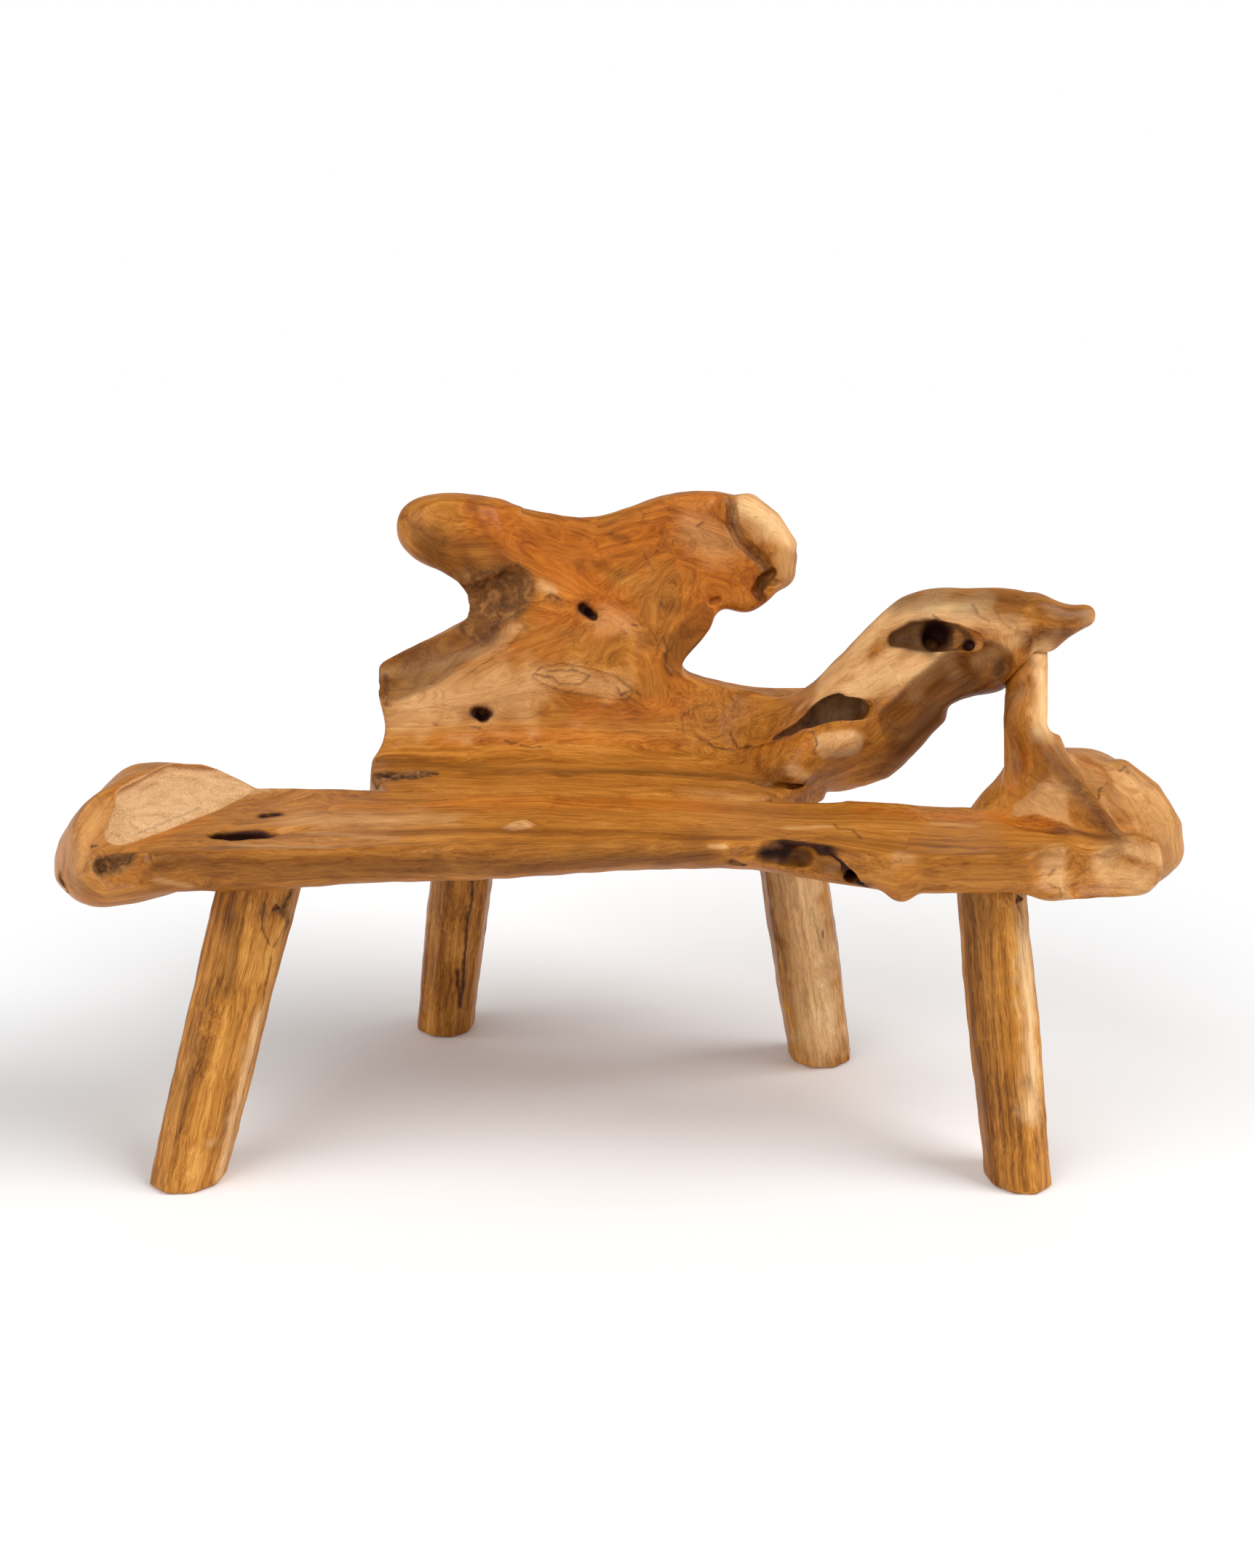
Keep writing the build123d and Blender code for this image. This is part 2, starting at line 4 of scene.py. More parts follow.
import bpy
import numpy as np
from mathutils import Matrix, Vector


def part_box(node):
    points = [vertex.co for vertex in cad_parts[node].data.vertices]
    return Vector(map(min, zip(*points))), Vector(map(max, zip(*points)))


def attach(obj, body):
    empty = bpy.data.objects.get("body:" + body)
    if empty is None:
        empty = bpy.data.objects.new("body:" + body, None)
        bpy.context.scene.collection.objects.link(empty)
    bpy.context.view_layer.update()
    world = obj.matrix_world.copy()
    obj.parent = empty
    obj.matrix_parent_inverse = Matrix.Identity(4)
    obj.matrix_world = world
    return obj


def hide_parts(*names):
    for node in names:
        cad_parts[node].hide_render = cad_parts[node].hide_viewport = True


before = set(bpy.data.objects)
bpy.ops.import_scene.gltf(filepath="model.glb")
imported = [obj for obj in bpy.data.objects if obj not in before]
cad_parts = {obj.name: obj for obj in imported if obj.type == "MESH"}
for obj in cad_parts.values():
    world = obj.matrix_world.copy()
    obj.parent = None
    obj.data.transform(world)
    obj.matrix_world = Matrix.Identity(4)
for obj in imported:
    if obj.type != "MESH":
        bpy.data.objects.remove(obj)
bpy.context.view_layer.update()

import openvdb as vdb
from mathutils import Vector
from mathutils.bvhtree import BVHTree

# ---- the photograph's camera -------------------------------------------------------------------
# Places on the object are given by pixels of the photograph at 1600 x 2000. The photograph itself
# is 1725 x 2156, so each pixel times 1.078125 is its place there.
EYE = Vector((0.005, -2.205, 1.087))
TILT = math.radians(15.5)
FOCAL_PX = 2000
MIDDLE_PX = (800, 1000)
SEAT_TOP = 0.475
MM = 1000           # strokes are sized in millimetres: this many to a metre


def sight(px, py):
    """The way from the camera through a pixel."""
    u, v = (px - MIDDLE_PX[0]) / FOCAL_PX, (py - MIDDLE_PX[1]) / FOCAL_PX
    c, s = math.cos(TILT), math.sin(TILT)
    return Vector((u, c - v * s, -s - v * c)).normalized()


def on_seat(*spots):
    """The places on the seat's level that pixels show, or so many millimetres under it."""
    out = []
    for px, py, *under in spots:
        way, depth = sight(px, py), sum(under) / MM
        out.append(EYE + way * ((SEAT_TOP - EYE.z) / way.z) - Vector((0, 0, depth)))
    return out


def as_arrays(mesh):
    """A mesh's points and triangles."""
    mesh.calc_loop_triangles()
    points = np.empty(len(mesh.vertices) * 3, np.float32)
    mesh.vertices.foreach_get("co", points)
    tris = np.empty(len(mesh.loop_triangles) * 3, np.int32)
    mesh.loop_triangles.foreach_get("vertices", tris)
    return points.reshape(-1, 3), tris.reshape(-1, 3)


def tree_of(meshes):
    """A search tree over several meshes."""
    points, faces = [], []
    for mesh in meshes:
        co, tris = as_arrays(mesh)
        faces += (tris + len(points)).tolist()
        points += co.tolist()
    return BVHTree.FromPolygons(points, faces)


SEEN_FAR = 2.4      # metres from the camera to the bench, about


def seen(px, py, tree):
    """The place on a surface that a pixel shows, and the way the surface faces there."""
    way = sight(px, py)
    place, facing, *_ = tree.ray_cast(EYE, way)
    if place is None:
        place, facing, *_ = tree.find_nearest(EYE + way * SEEN_FAR)
    return place, facing


# ---- numbers spread over space -----------------------------------------------------------------
def ramp(values, low, high):
    """0 below low, 1 above high, smooth between (or falling, where high is below low)."""
    t = np.clip((values - low) / (high - low), 0, 1)
    return t * t * (3 - 2 * t)


def waves(points, size, seed, count=24):
    """Smooth noise from about -1 to 1, with bumps of about that size in metres."""
    rng = np.random.default_rng(seed)
    total = np.zeros(len(points), np.float32)
    for _ in range(count):
        way = rng.normal(size=3)
        way *= 2 * math.pi / (size * rng.uniform(1.2, 3.2) * np.linalg.norm(way))
        total += np.cos(points @ way.astype(np.float32) + rng.uniform(0, 2 * math.pi))
    return total / math.sqrt(count)


def along(points, path, carry_on=True):
    """For each point: how far along a path its nearest place is, its offset and its distance.

    To carry on is to let the path's first and last runs go straight on beyond its ends.
    """
    path = [np.array(p, np.float32) for p in path]
    best = np.full(len(points), 1e9, np.float32)
    length = np.zeros(len(points), np.float32)
    offset = np.zeros_like(points)
    start = 0.0
    last = len(path) - 2
    for i, (a, b) in enumerate(zip(path, path[1:])):
        run = b - a
        size = float(np.linalg.norm(run))
        t = (points - a) @ run / size ** 2
        t = np.clip(t, -5 if carry_on and i == 0 else 0, 5 if carry_on and i == last else 1)
        away = points - a - t[:, None] * run
        distance = np.linalg.norm(away, axis=1)
        nearer = distance < best
        best = np.where(nearer, distance, best)
        length = np.where(nearer, start + t * size, length)
        offset = np.where(nearer[:, None], away, offset)
        start += size
    return length, offset, best


# ---- a block of wood that can be carved --------------------------------------------------------
X, Z = 0, 2                     # the axes along the bench and up
VOXEL = 0.0025                  # the grid, in metres
MARK_SPREAD = (0.005, 0.002)    # an even mark ends this far off the stroke, and is full this near
CAVE_EDGE = 0.001               # a cave mark is full this near to the stroke
CAVE_DEPTHS = (0.0005, 0.014)   # it begins and is full this deep in the wood,
WAY_DEPTHS = (0.0005, 0.005)    # or this far beyond a place


def main_piece(points, groups):
    """A mesh's largest connected piece: its points, and its faces as one list."""
    edges = np.concatenate([f[:, (i - 1, i)] for f in groups for i in range(f.shape[1])])
    label = np.arange(len(points))
    while True:
        low = label.copy()
        np.minimum.at(low, edges[:, 0], label[edges[:, 1]])
        np.minimum.at(low, edges[:, 1], label[edges[:, 0]])
        low = low[low]
        if (low == label).all():
            break
        label = low
    keep = label == np.bincount(label).argmax()
    renumber = np.cumsum(keep) - 1
    return points[keep], [face for f in groups for face in renumber[f[keep[f[:, 0]]]].tolist()]


def fade(axis, low, high):
    """A share of the space: 0 at low and 1 at high, along an axis."""
    return lambda *place: ramp(place[axis], low, high)


class Wood:
    """A node's solid as distances on a grid, negative inside, so that it can be carved.

    Places are points in metres or pixels that show them, and strokes are sized in millimetres.
    Distances are true within a reach of the surface, and the grid has a pad of room round it.
    """

    def __init__(self, node, reach=30, pad=24):
        self.masks = {}
        self.tree = tree_of([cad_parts[node].data])
        points, tris = as_arrays(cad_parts[node].data)
        self.placing = vdb.createLinearTransform(VOXEL)
        grid = vdb.FloatGrid.createLevelSetFromPolygons(
            points, triangles=tris.astype(np.uint32), transform=self.placing,
            halfWidth=reach / MM / VOXEL)
        low, high = (np.array(c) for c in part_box(node))
        self.start = np.floor((low - pad / MM) / VOXEL).astype(int)
        size = np.ceil((high + pad / MM) / VOXEL).astype(int) - self.start
        self.d = np.empty(size, np.float32)
        grid.copyToArray(self.d, ijk=tuple(int(i) for i in self.start))

    def region(self, low=(-9, -9, -9), high=(9, 9, 9)):
        """The part of the grid inside a box, with its coordinates."""
        a = np.clip(np.floor(np.array(low) / VOXEL).astype(int) - self.start, 0, self.d.shape)
        b = np.clip(np.ceil(np.array(high) / VOXEL).astype(int) - self.start, 0, self.d.shape)
        cut = tuple(slice(i, j) for i, j in zip(a, b))
        x, y, z = ((np.arange(i, j) + s).astype(np.float32) * VOXEL
                   for i, j, s in zip(a, b, self.start))
        return cut, x[:, None, None], y[None, :, None], z[None, None, :]

    def round_off(self, radius, *box, where=None):
        """Averages the distances over a radius, which rounds edges, by a share that where gives."""
        cut, x, y, z = self.region(*box)
        soft = self.d[cut]
        half = max(1, round(radius / MM / VOXEL))
        for axis in (0, 0, 1, 1, 2, 2):
            pads = [(half + 1, half) if a == axis else (0, 0) for a in range(3)]
            sums = np.cumsum(np.pad(soft, pads, mode="edge"), axis=axis, dtype=np.float64)
            count = soft.shape[axis]
            ahead = np.take(sums, range(2 * half + 1, 2 * half + 1 + count), axis=axis)
            passed = np.take(sums, range(count), axis=axis)
            soft = ((ahead - passed) / (2 * half + 1)).astype(np.float32)
        share = 1 if where is None else where(x, y, z)
        self.d[cut] = self.d[cut] * (1 - share) + soft * share

    def blend(self, tool, low, high, soft, sign):
        """Joins a tool's shape to the solid (sign 1) or takes it away (sign -1), softly."""
        cut, x, y, z = self.region(low, high)
        old, new = self.d[cut], sign * tool(x, y, z)
        near = np.clip(0.5 + 0.5 * sign * (old - new) / soft, 0, 1)
        self.d[cut] = old * (1 - near) + new * near - sign * soft * near * (1 - near)

    def at(self, pixel, deep=0):
        """The place on this wood that a pixel shows, or that far behind its surface."""
        return seen(*pixel, self.tree)[0] + sight(*pixel) * (deep / MM)

    def mouth(self, px, py, size, deep=0):
        """The middle of a hole's mouth, from a pixel over it and one under it."""
        over, under = self.at((px, py - size)), self.at((px, py + size))
        return (over + under) / 2 + sight(px, py) * (deep / MM)

    def mouths(self, *spots):
        """Several such places, each from its pixel, its size and its depth."""
        return [self.mouth(*spot) for spot in spots]

    def carve(self, path, radii, deep=0, soft=5, mark=None, strength=1.0, plane=None, into=None,
              spread=4, sign=-1):
        """Carves a round limb along a path, with a radius at each place, and may mark its surface.

        Pixels in the path are places on this wood, or so deep under its surface. The cave mark is
        painted shade that grows with depth: into the wood as it was, or beyond a place, along a way.
        Others are even over the limb's surface. With a plane (the way it faces and how deep it bites
        at the path's middle) a flat is cut.
        """
        points = [Vector(p) if len(p) == 3 else self.at(p, deep) for p in path]
        radii, soft, spread = [r / MM for r in radii], soft / MM, spread / MM
        reach = max(radii) + 3 * soft
        low = [min(p[i] for p in points) - reach for i in range(3)]
        high = [max(p[i] for p in points) + reach for i in range(3)]

        def tool(x, y, z):
            best = None
            for a, b, ra, rb in zip(points, points[1:], radii, radii[1:]):
                run = b - a
                t = ((x - a.x) * run.x + (y - a.y) * run.y + (z - a.z) * run.z) / run.length_squared
                t = np.clip(t, 0, 1)
                dx, dy, dz = x - a.x - t * run.x, y - a.y - t * run.y, z - a.z - t * run.z
                distance = np.sqrt(dx * dx + dy * dy + dz * dz) - (ra + (rb - ra) * t)
                best = distance if best is None else np.minimum(best, distance)
            if plane:
                facing, bite = Vector(plane[0]).normalized(), plane[1] / MM
                middle = sum(points, Vector()) / len(points) - facing * bite
                over = ((x - middle.x) * facing.x + (y - middle.y) * facing.y
                        + (z - middle.z) * facing.z)
                best = np.maximum(best, -over)
            return best

        if mark:
            cut, x, y, z = self.region(low, high)
            away = tool(x, y, z)
            if mark == "cave" and into:
                place, way = into
                depth = (x - place.x) * way.x + (y - place.y) * way.y + (z - place.z) * way.z
                share = ramp(away, spread, CAVE_EDGE) * ramp(depth, *WAY_DEPTHS)
            elif mark == "cave":
                share = ramp(away, spread, CAVE_EDGE) * ramp(-self.d[cut], *CAVE_DEPTHS)
            else:
                share = ramp(np.abs(away), *MARK_SPREAD)
            mask = self.masks.setdefault(mark, np.zeros(self.d.shape, np.float16))
            mask[cut] = np.maximum(mask[cut], strength * share)
        self.blend(tool, low, high, soft, sign)

    def add(self, path, radii, **how):
        """Adds a round limb as carve takes one away."""
        self.carve(path, radii, sign=1, **how)

    def hollow(self, path, radii, soft=2, **how):
        """Carves a hole or a hollow, with painted shade that darkens it in its depth."""
        self.carve(path, radii, soft=soft, mark="cave", **how)

    def trim(self, pixels, radius, low, high, soft=3):
        """Cuts away, straight along the view, what a stroke that many pixels wide covers."""
        def tool(x, y, z):
            x, y, z = x - EYE.x, y - EYE.y, z - EYE.z
            far = y * math.cos(TILT) - z * math.sin(TILT)
            across = MIDDLE_PX[0] + x / far * FOCAL_PX
            down = MIDDLE_PX[1] - (y * math.sin(TILT) + z * math.cos(TILT)) / far * FOCAL_PX
            best = None
            for (ax, ay), (bx, by) in zip(pixels, pixels[1:]):
                dx, dy = bx - ax, by - ay
                t = np.clip(((across - ax) * dx + (down - ay) * dy) / (dx * dx + dy * dy), 0, 1)
                distance = np.hypot(across - ax - t * dx, down - ay - t * dy)
                best = distance if best is None else np.minimum(best, distance)
            return (best - radius) * far / FOCAL_PX

        self.blend(tool, low, high, soft / MM, -1)

    def mesh(self, name):
        """The carved solid's surface as a mesh, with what the strokes marked on its points."""
        grid = vdb.FloatGrid(1)
        grid.copyFromArray(self.d, ijk=tuple(int(i) for i in self.start))
        grid.transform = self.placing
        points, *faces = grid.convertToPolygons(0)
        points, faces = main_piece(points, [f[:, ::-1] for f in faces if len(f)])
        mesh = bpy.data.meshes.new(name)
        mesh.from_pydata(points.tolist(), [], faces)
        mesh.update()
        mesh.shade_smooth()
        # the marks are read between the grid's places
        self.marked = {}
        places = points / VOXEL - self.start
        first = np.floor(places).astype(int)
        share = places - first
        for mark, mask in self.masks.items():
            values = np.zeros(len(points), np.float32)
            for corner in np.ndindex(2, 2, 2):
                part = np.prod(np.where(corner, share, 1 - share), axis=1)
                values += part * mask[tuple((first + corner).T)]
            self.marked[mark] = values
        return mesh


def move(mesh, amount):
    """Moves each point of a mesh along its normal."""
    points = as_arrays(mesh)[0]
    normals = np.empty(len(mesh.vertices) * 3, np.float32)
    mesh.vertices.foreach_get("normal", normals)
    mesh.vertices.foreach_set("co", (points + normals.reshape(-1, 3) * amount[:, None]).ravel())
    mesh.update()


# ---- the seat ----------------------------------------------------------------------------------
seat = Wood("seat_slab")
underside = fade(Z, 0.462, 0.445)
seat.round_off(3)
seat.round_off(8, where=underside)
# the bulb's outline, trimmed to the shape of the root, and its shoulder towards the seat
bulb_box = ((-0.85, -0.60, 0.30), (-0.50, 0.10, 0.70))
left_of_seat = fade(X, -0.58, -0.65)
bulb_shoulder = [(112, 1072), (136, 1034), (172, 1004), (225, 986), (270, 988), (300, 999)]
seat.add(bulb_shoulder, [16, 18, 16, 12, 14, 10], deep=12, soft=20)
seat.round_off(8, *bulb_box, where=left_of_seat)
bulb_outline = [(334, 974), (313, 964), (292, 954), (263, 943), (198, 942), (165, 946), (135, 953),
                (110, 971), (86, 996), (59, 1035), (45, 1065), (39, 1090), (38, 1118), (45, 1140),
                (60, 1157), (78, 1173), (105, 1186), (132, 1190), (184, 1184), (273, 1172)]
seat.trim(bulb_outline, 30, *bulb_box)
seat.round_off(4, *bulb_box, where=left_of_seat)
# the scoop: end grain planed nearly flat, with a strip of side grain under it
scoop_facing = (0.66, -0.30, 0.69)
scoop = [(148, 1070), (180, 1040), (235, 1012), (300, 1000)]
seat.carve(scoop, [16, 42, 44, 22], soft=4, mark="end", plane=(scoop_facing, 0.5))
scoop_edge = [(150, 1074), (220, 1048), (300, 1011)]
scoop_edge_facing = (0.4, -0.2, 0.9)
seat.carve(scoop_edge, [4, 7, 4], soft=2, mark="pale", strength=0.7, plane=(scoop_edge_facing, 0.5))
# the bark knot at the front of the bulb, with the swirl of wood that grew round it
knot_swirl = [(184, 1090), (184, 1103), (166, 1118), (144, 1122), (126, 1108), (124, 1090)]
seat.add(knot_swirl, [4, 9, 9, 8, 8, 5], soft=12)
bark_knot = [(132, 1104), (148, 1100), (165, 1091)]
seat.carve(bark_knot, [10, 13, 8], soft=2, mark="bark")
bark_pit = [(134, 1106), (150, 1102), (160, 1095)]
seat.hollow(bark_pit, [5, 7, 5], deep=6, strength=0.8)
knot_rim = [(176, 1104), (180, 1102)]
seat.add(knot_rim, [8, 8], soft=8)
bulb_scar = [(74, 1119), (78, 1133)]
seat.carve(bulb_scar, [5, 7], soft=3, mark="bark")
# the slot: a deep end at the left that slopes up to nothing at the right, and a hole beside it, both dark
# with painted shade in their depth
into_seat = (Vector((0, 0, SEAT_TOP)), Vector((0, 0, -1)))
slot = on_seat((268, 1065, 2), (282, 1065, 12), (306, 1065, 16), (330, 1062, 12), (350, 1058, 4))
seat.hollow(slot, [4, 20, 28, 24, 12], soft=1, into=into_seat, spread=8)
slot_slope = on_seat((330, 1061, 4), (362, 1056, 0), (402, 1048, -5))
seat.carve(slot_slope, [18, 14, 9], soft=3)
slot_bottom = on_seat((286, 1067, 28), (326, 1061, 28))
seat.hollow(slot_bottom, [12, 13], soft=3, into=into_seat, spread=20)
seat_hole = on_seat((338, 1036.5, 4), (352, 1035.5, 2))
seat.hollow(seat_hole, [7, 6], into=into_seat, spread=10)
hole_bottom = on_seat((339, 1036, 14), (345, 1036, 14))
seat.hollow(hole_bottom, [7, 6], into=into_seat, spread=10)
# a worn knot that stands up from the seat, a little one near the post, and a crack
worn_knot = on_seat((655, 1053, 7), (668, 1049, 8))
seat.add(worn_knot, [12, 12], soft=8, mark="pale", strength=0.5)
small_knot = on_seat((1172, 1044, 5), (1178, 1042, 5))
seat.add(small_knot, [7, 7], soft=6)
seat_crack = on_seat((1064, 1052), (1075, 1058), (1085, 1057), (1092, 1062), (1098, 1070))
seat.hollow(seat_crack, [3, 5, 4, 4, 2], strength=0.7)
# the hollow under the front edge with painted shade in it, its crisp arris, and the ridge and bump it runs
# out in
into_front = (Vector((0.20, -0.318, 0.44)), Vector((0, 1, 0)))
front_hollow = [(972, 1094), (995, 1092), (1022, 1092), (1045, 1094), (1064, 1104), (1084, 1120),
                (1106, 1136)]
seat.hollow(front_hollow, [8, 13, 15, 14, 12, 10, 4], deep=2, soft=1.5, strength=0.55, spread=6)
hollow_arris = [(978, 1088), (1000, 1086), (1024, 1086), (1044, 1088), (1060, 1097), (1076, 1107),
                (1100, 1126)]
seat.hollow(hollow_arris, [6, 12, 13, 11, 9, 7, 3], deep=7, soft=1, into=into_front, spread=12)
front_bump = [(1150, 1118), (1148, 1133)]
seat.add(front_bump, [18, 16], deep=14, soft=18)
bump_slit = [(1176, 1134), (1205, 1133)]
seat.hollow(bump_slit, [2, 5], deep=2)
# the little burl left of it
burl = [(940, 1085), (950, 1095)]
seat.add(burl, [5, 6], soft=10)
burl_bark = [(934, 1100), (946, 1103)]
seat.carve(burl_bark, [3, 4], soft=3, mark="bark")
# the burrs at the right end of the front edge, grown round two old branches
burrs = [(1345, 1118), (1385, 1112), (1445, 1106)]
seat.add(burrs, [26, 30, 32], deep=20, soft=30)
left_burr = [(1346, 1114), (1352, 1118)]
seat.carve(left_burr, [37, 37], deep=-28, soft=3)
burr_crack = [(1371, 1090), (1373, 1108), (1369, 1130)]
seat.hollow(burr_crack, [2, 4, 2], soft=3, strength=0.5)
right_burr = [(1420, 1116), (1446, 1112)]
seat.carve(right_burr, [66, 66], deep=-60, soft=3)
lump_box = ((0.5, -0.60, 0.30), (0.95, 0.10, 0.56))
lump_corner = [(1514, 1130), (1490, 1152)]
seat.trim(lump_corner, 27, *lump_box)
seat.round_off(8, *lump_box, where=fade(X, 0.66, 0.72))
# the lump behind the flare
lump_back = [(1432, 985), (1462, 1015), (1482, 1055), (1488, 1085)]
seat.add(lump_back, [16, 22, 24, 20], deep=20, soft=20)
# the post: a bright round side, a darker fin down its front, and the flare at its foot
post_box = ((0.50, -0.35, 0.46), (0.75, 0.20, 0.95))
post_edge = [(1353, 825), (1352, 900), (1352, 920)]
seat.trim(post_edge, 18, *post_box)
post_side = [(1292, 1000), (1292, 960), (1292, 915), (1294, 890)]
seat.add(post_side, [14, 14, 14, 12], deep=10, soft=10)
fin = [(1314, 870), (1319, 905), (1325, 932)]
seat.carve(fin, [8, 10, 8], deep=-6, soft=3)
flare_left = [(1345, 975), (1372, 1008), (1398, 1040)]
seat.carve(flare_left, [52, 55, 53], deep=-50, soft=3)
flare_right = [(1372, 962), (1410, 1005), (1440, 1058)]
seat.carve(flare_right, [14, 17, 14], deep=-12, soft=3)
flare_facet = [(1300, 1030), (1332, 1016), (1358, 1024), (1374, 1042)]
flare_facing = (-0.60, -0.48, 0.64)
seat.carve(flare_facet, [10, 22, 24, 12], soft=2, mark="pale", strength=0.45,
           plane=(flare_facing, 2))
flare_line = [(1300, 1052), (1350, 1060), (1400, 1068)]
seat.carve(flare_line, [4, 6, 5], deep=-4, soft=4)
flare_pit = [(1311, 990), (1312, 993)]
seat.hollow(flare_pit, [3, 3])
seat_mesh = seat.mesh("seat")

# ---- the back root and its arm -----------------------------------------------------------------
back = Wood("back_root")
# the horn: a round log that runs out to the left, with a ridge where the back's face begins
horn = [(550, 676), (590, 684), (640, 700)]
back.add(horn, [46, 52, 50], deep=45, soft=20)
horn_ridge = [(606, 650), (622, 685), (645, 706), (672, 730)]
back.add(horn_ridge, [10, 14, 14, 8], deep=8, soft=14)
# the top edge between the horn and the lobe
top_edge = [(650, 660), (700, 668), (757, 676), (800, 660)]
back.add(top_edge, [14, 18, 21, 14], deep=20, soft=14)
back.round_off(4)
horn_box = ((-0.42, 0.18, 0.72), (-0.16, 0.40, 0.90))
high_on_horn, left_on_horn = fade(Z, 0.73, 0.78), fade(X, -0.18, -0.22)
back.round_off(14, *horn_box, where=lambda *place: high_on_horn(*place) * left_on_horn(*place))
top_box = ((-0.16, 0.18, 0.62), (0.30, 0.40, 0.90))
back.round_off(10, *top_box, where=fade(Z, 0.63, 0.70))
# the right lobe's outline, with the crease half way down
lobe_box = ((0.10, 0.10, 0.60), (0.50, 0.50, 1.00))
lobe_corner = [(1003, 622), (1029, 655)]
back.trim(lobe_corner, 27, *lobe_box)
lobe_crease = [(1017, 701), (1030, 700)]
back.trim(lobe_crease, 10, *lobe_box)
lobe_side = [(1036, 730), (1035, 745)]
back.trim(lobe_side, 23, *lobe_box)
lobe_foot = [(926, 795), (922, 812)]
back.trim(lobe_foot, 17, *lobe_box)
# the rough crotch under the horn, cut back, and the ledge below it with its band
crotch = [(590, 760), (615, 764), (640, 756), (655, 744)]
back.carve(crotch, [54, 56, 54, 46], deep=-40, soft=3, mark="bark", strength=0.8)
crotch_foot = [(600, 785), (610, 800)]
back.carve(crotch_foot, [38, 38], deep=-30, soft=3, mark="bark", strength=0.7)
ledge = [(500, 838), (555, 824), (610, 802)]
back.carve(ledge, [65, 68, 64], deep=-60, soft=2, mark="dark", strength=0.9)
# the left end's dark slot and the rough broken end under it
base_end = [(449, 955), (445, 1012)]
base_end_box = ((-0.50, -0.20, 0.40), (-0.30, 0.35, 0.66))
back.trim(base_end, 27, *base_end_box)
end_slot = [(495, 860), (495, 900)]
back.hollow(end_slot, [4, 5])
broken_end = [(480, 992), (516, 992), (550, 988)]
back.carve(broken_end, [15, 15, 8], deep=-2, soft=2, mark="bark")
broken_gap = [(486, 990), (500, 988), (528, 987)]
back.hollow(broken_gap, [5, 7, 4], deep=4)
# the rolled rim of the right lobe, split from the face, with the dark curl under the split
rim = [(952, 652), (975, 672), (990, 700), (994, 730)]
back.add(rim, [28, 30, 30, 24], deep=22, soft=12)
rim_split = [(930, 632), (933, 650), (933, 668), (944, 690), (960, 704), (974, 716), (984, 732)]
back.carve(rim_split, [4, 6, 8, 7, 7, 6, 4], soft=8, mark="dark", strength=0.7)
curl = [(984, 730), (972, 742), (965, 754), (972, 766)]
back.carve(curl, [6, 9, 8, 6], deep=3, soft=2, mark="dark")
curl_hollow = [(984, 732), (972, 744), (966, 755), (972, 764)]
back.hollow(curl_hollow, [5, 7, 6, 4], deep=8)
curl_notch = [(978, 742), (992, 744)]
back.hollow(curl_notch, [6, 5], deep=4)
face_pit = [(908, 768), (916, 765)]
back.hollow(face_pit, [6, 5], deep=4, soft=3)
# the olive-brown side of the neck, planed away to the right
neck_side = [(900, 790), (884, 815), (866, 842)]
back.carve(neck_side, [46, 48, 44], deep=-40, soft=2, mark="dark", strength=0.7)
# knot holes, open and worn
hole_middle = (750, 781)
into_hole = (back.mouth(*hole_middle, 14), sight(*hole_middle))
knot_hole = back.mouths((743, 776, 14, 2), (757, 787, 14, 2))
back.hollow(knot_hole, [9, 8], into=into_hole, spread=6)
knot_bottom = back.mouths((750, 781, 14, 14), (752, 783, 14, 16))
back.hollow(knot_bottom, [8, 7], into=into_hole, spread=10)
worn_hole = [(702, 762), (712, 765)]
back.hollow(worn_hole, [5, 3], soft=3, strength=0.6)
low_hole_middle = (615, 912)
into_low_hole = (back.mouth(*low_hole_middle, 18), sight(*low_hole_middle))
low_hole = back.mouths((607, 909, 18, 2), (616, 913, 18, 2), (624, 911, 18, 0))
back.hollow(low_hole, [8, 12, 7], soft=3, into=into_low_hole, spread=6)
low_bottom = back.mouths((612, 914, 18, 14), (616, 913, 18, 16))
back.hollow(low_bottom, [10, 10], soft=3, into=into_low_hole, spread=12)
# the arm: fuller underneath, with a ridge along it and a planed side below the ridge, darkened with painted
# shade
arm_foot = [(1100, 985), (1124, 975), (1152, 950), (1190, 912)]
back.add(arm_foot, [16, 22, 22, 18], deep=22, soft=16)
arm_ridge = [(1130, 908), (1150, 893), (1190, 868), (1237, 846)]
back.add(arm_ridge, [14, 18, 20, 18], deep=14, soft=10)
arm_flank = [(1150, 935), (1180, 908), (1215, 885), (1250, 866)]
back.carve(arm_flank, [68, 74, 73, 66], deep=-60, soft=2, mark="dark")
arm_face = [(1100, 878), (1150, 855), (1210, 838)]
back.carve(arm_face, [62, 64, 62], deep=-60, soft=3)
# the neck's hollow under a crisp edge, dark with painted shade in its depth, with the pale grown-in knot
# below it
neck_hollow = [(990, 940), (1016, 928), (1044, 914), (1072, 908), (1100, 905)]
neck_middle = (1060, 914)
back.hollow(neck_hollow, [5, 15, 25, 26, 14], deep=4, soft=1.5, strength=0.85,
            into=(back.mouth(*neck_middle, 24), sight(*neck_middle)), spread=6)
grown_knot = [(1052, 950), (1082, 946)]
back.add(grown_knot, [15, 17], deep=6, soft=8, mark="pale", strength=0.6)
knot_line = [(1038, 938), (1041, 950), (1036, 958)]
back.hollow(knot_line, [2, 3, 1], soft=1, strength=0.8)
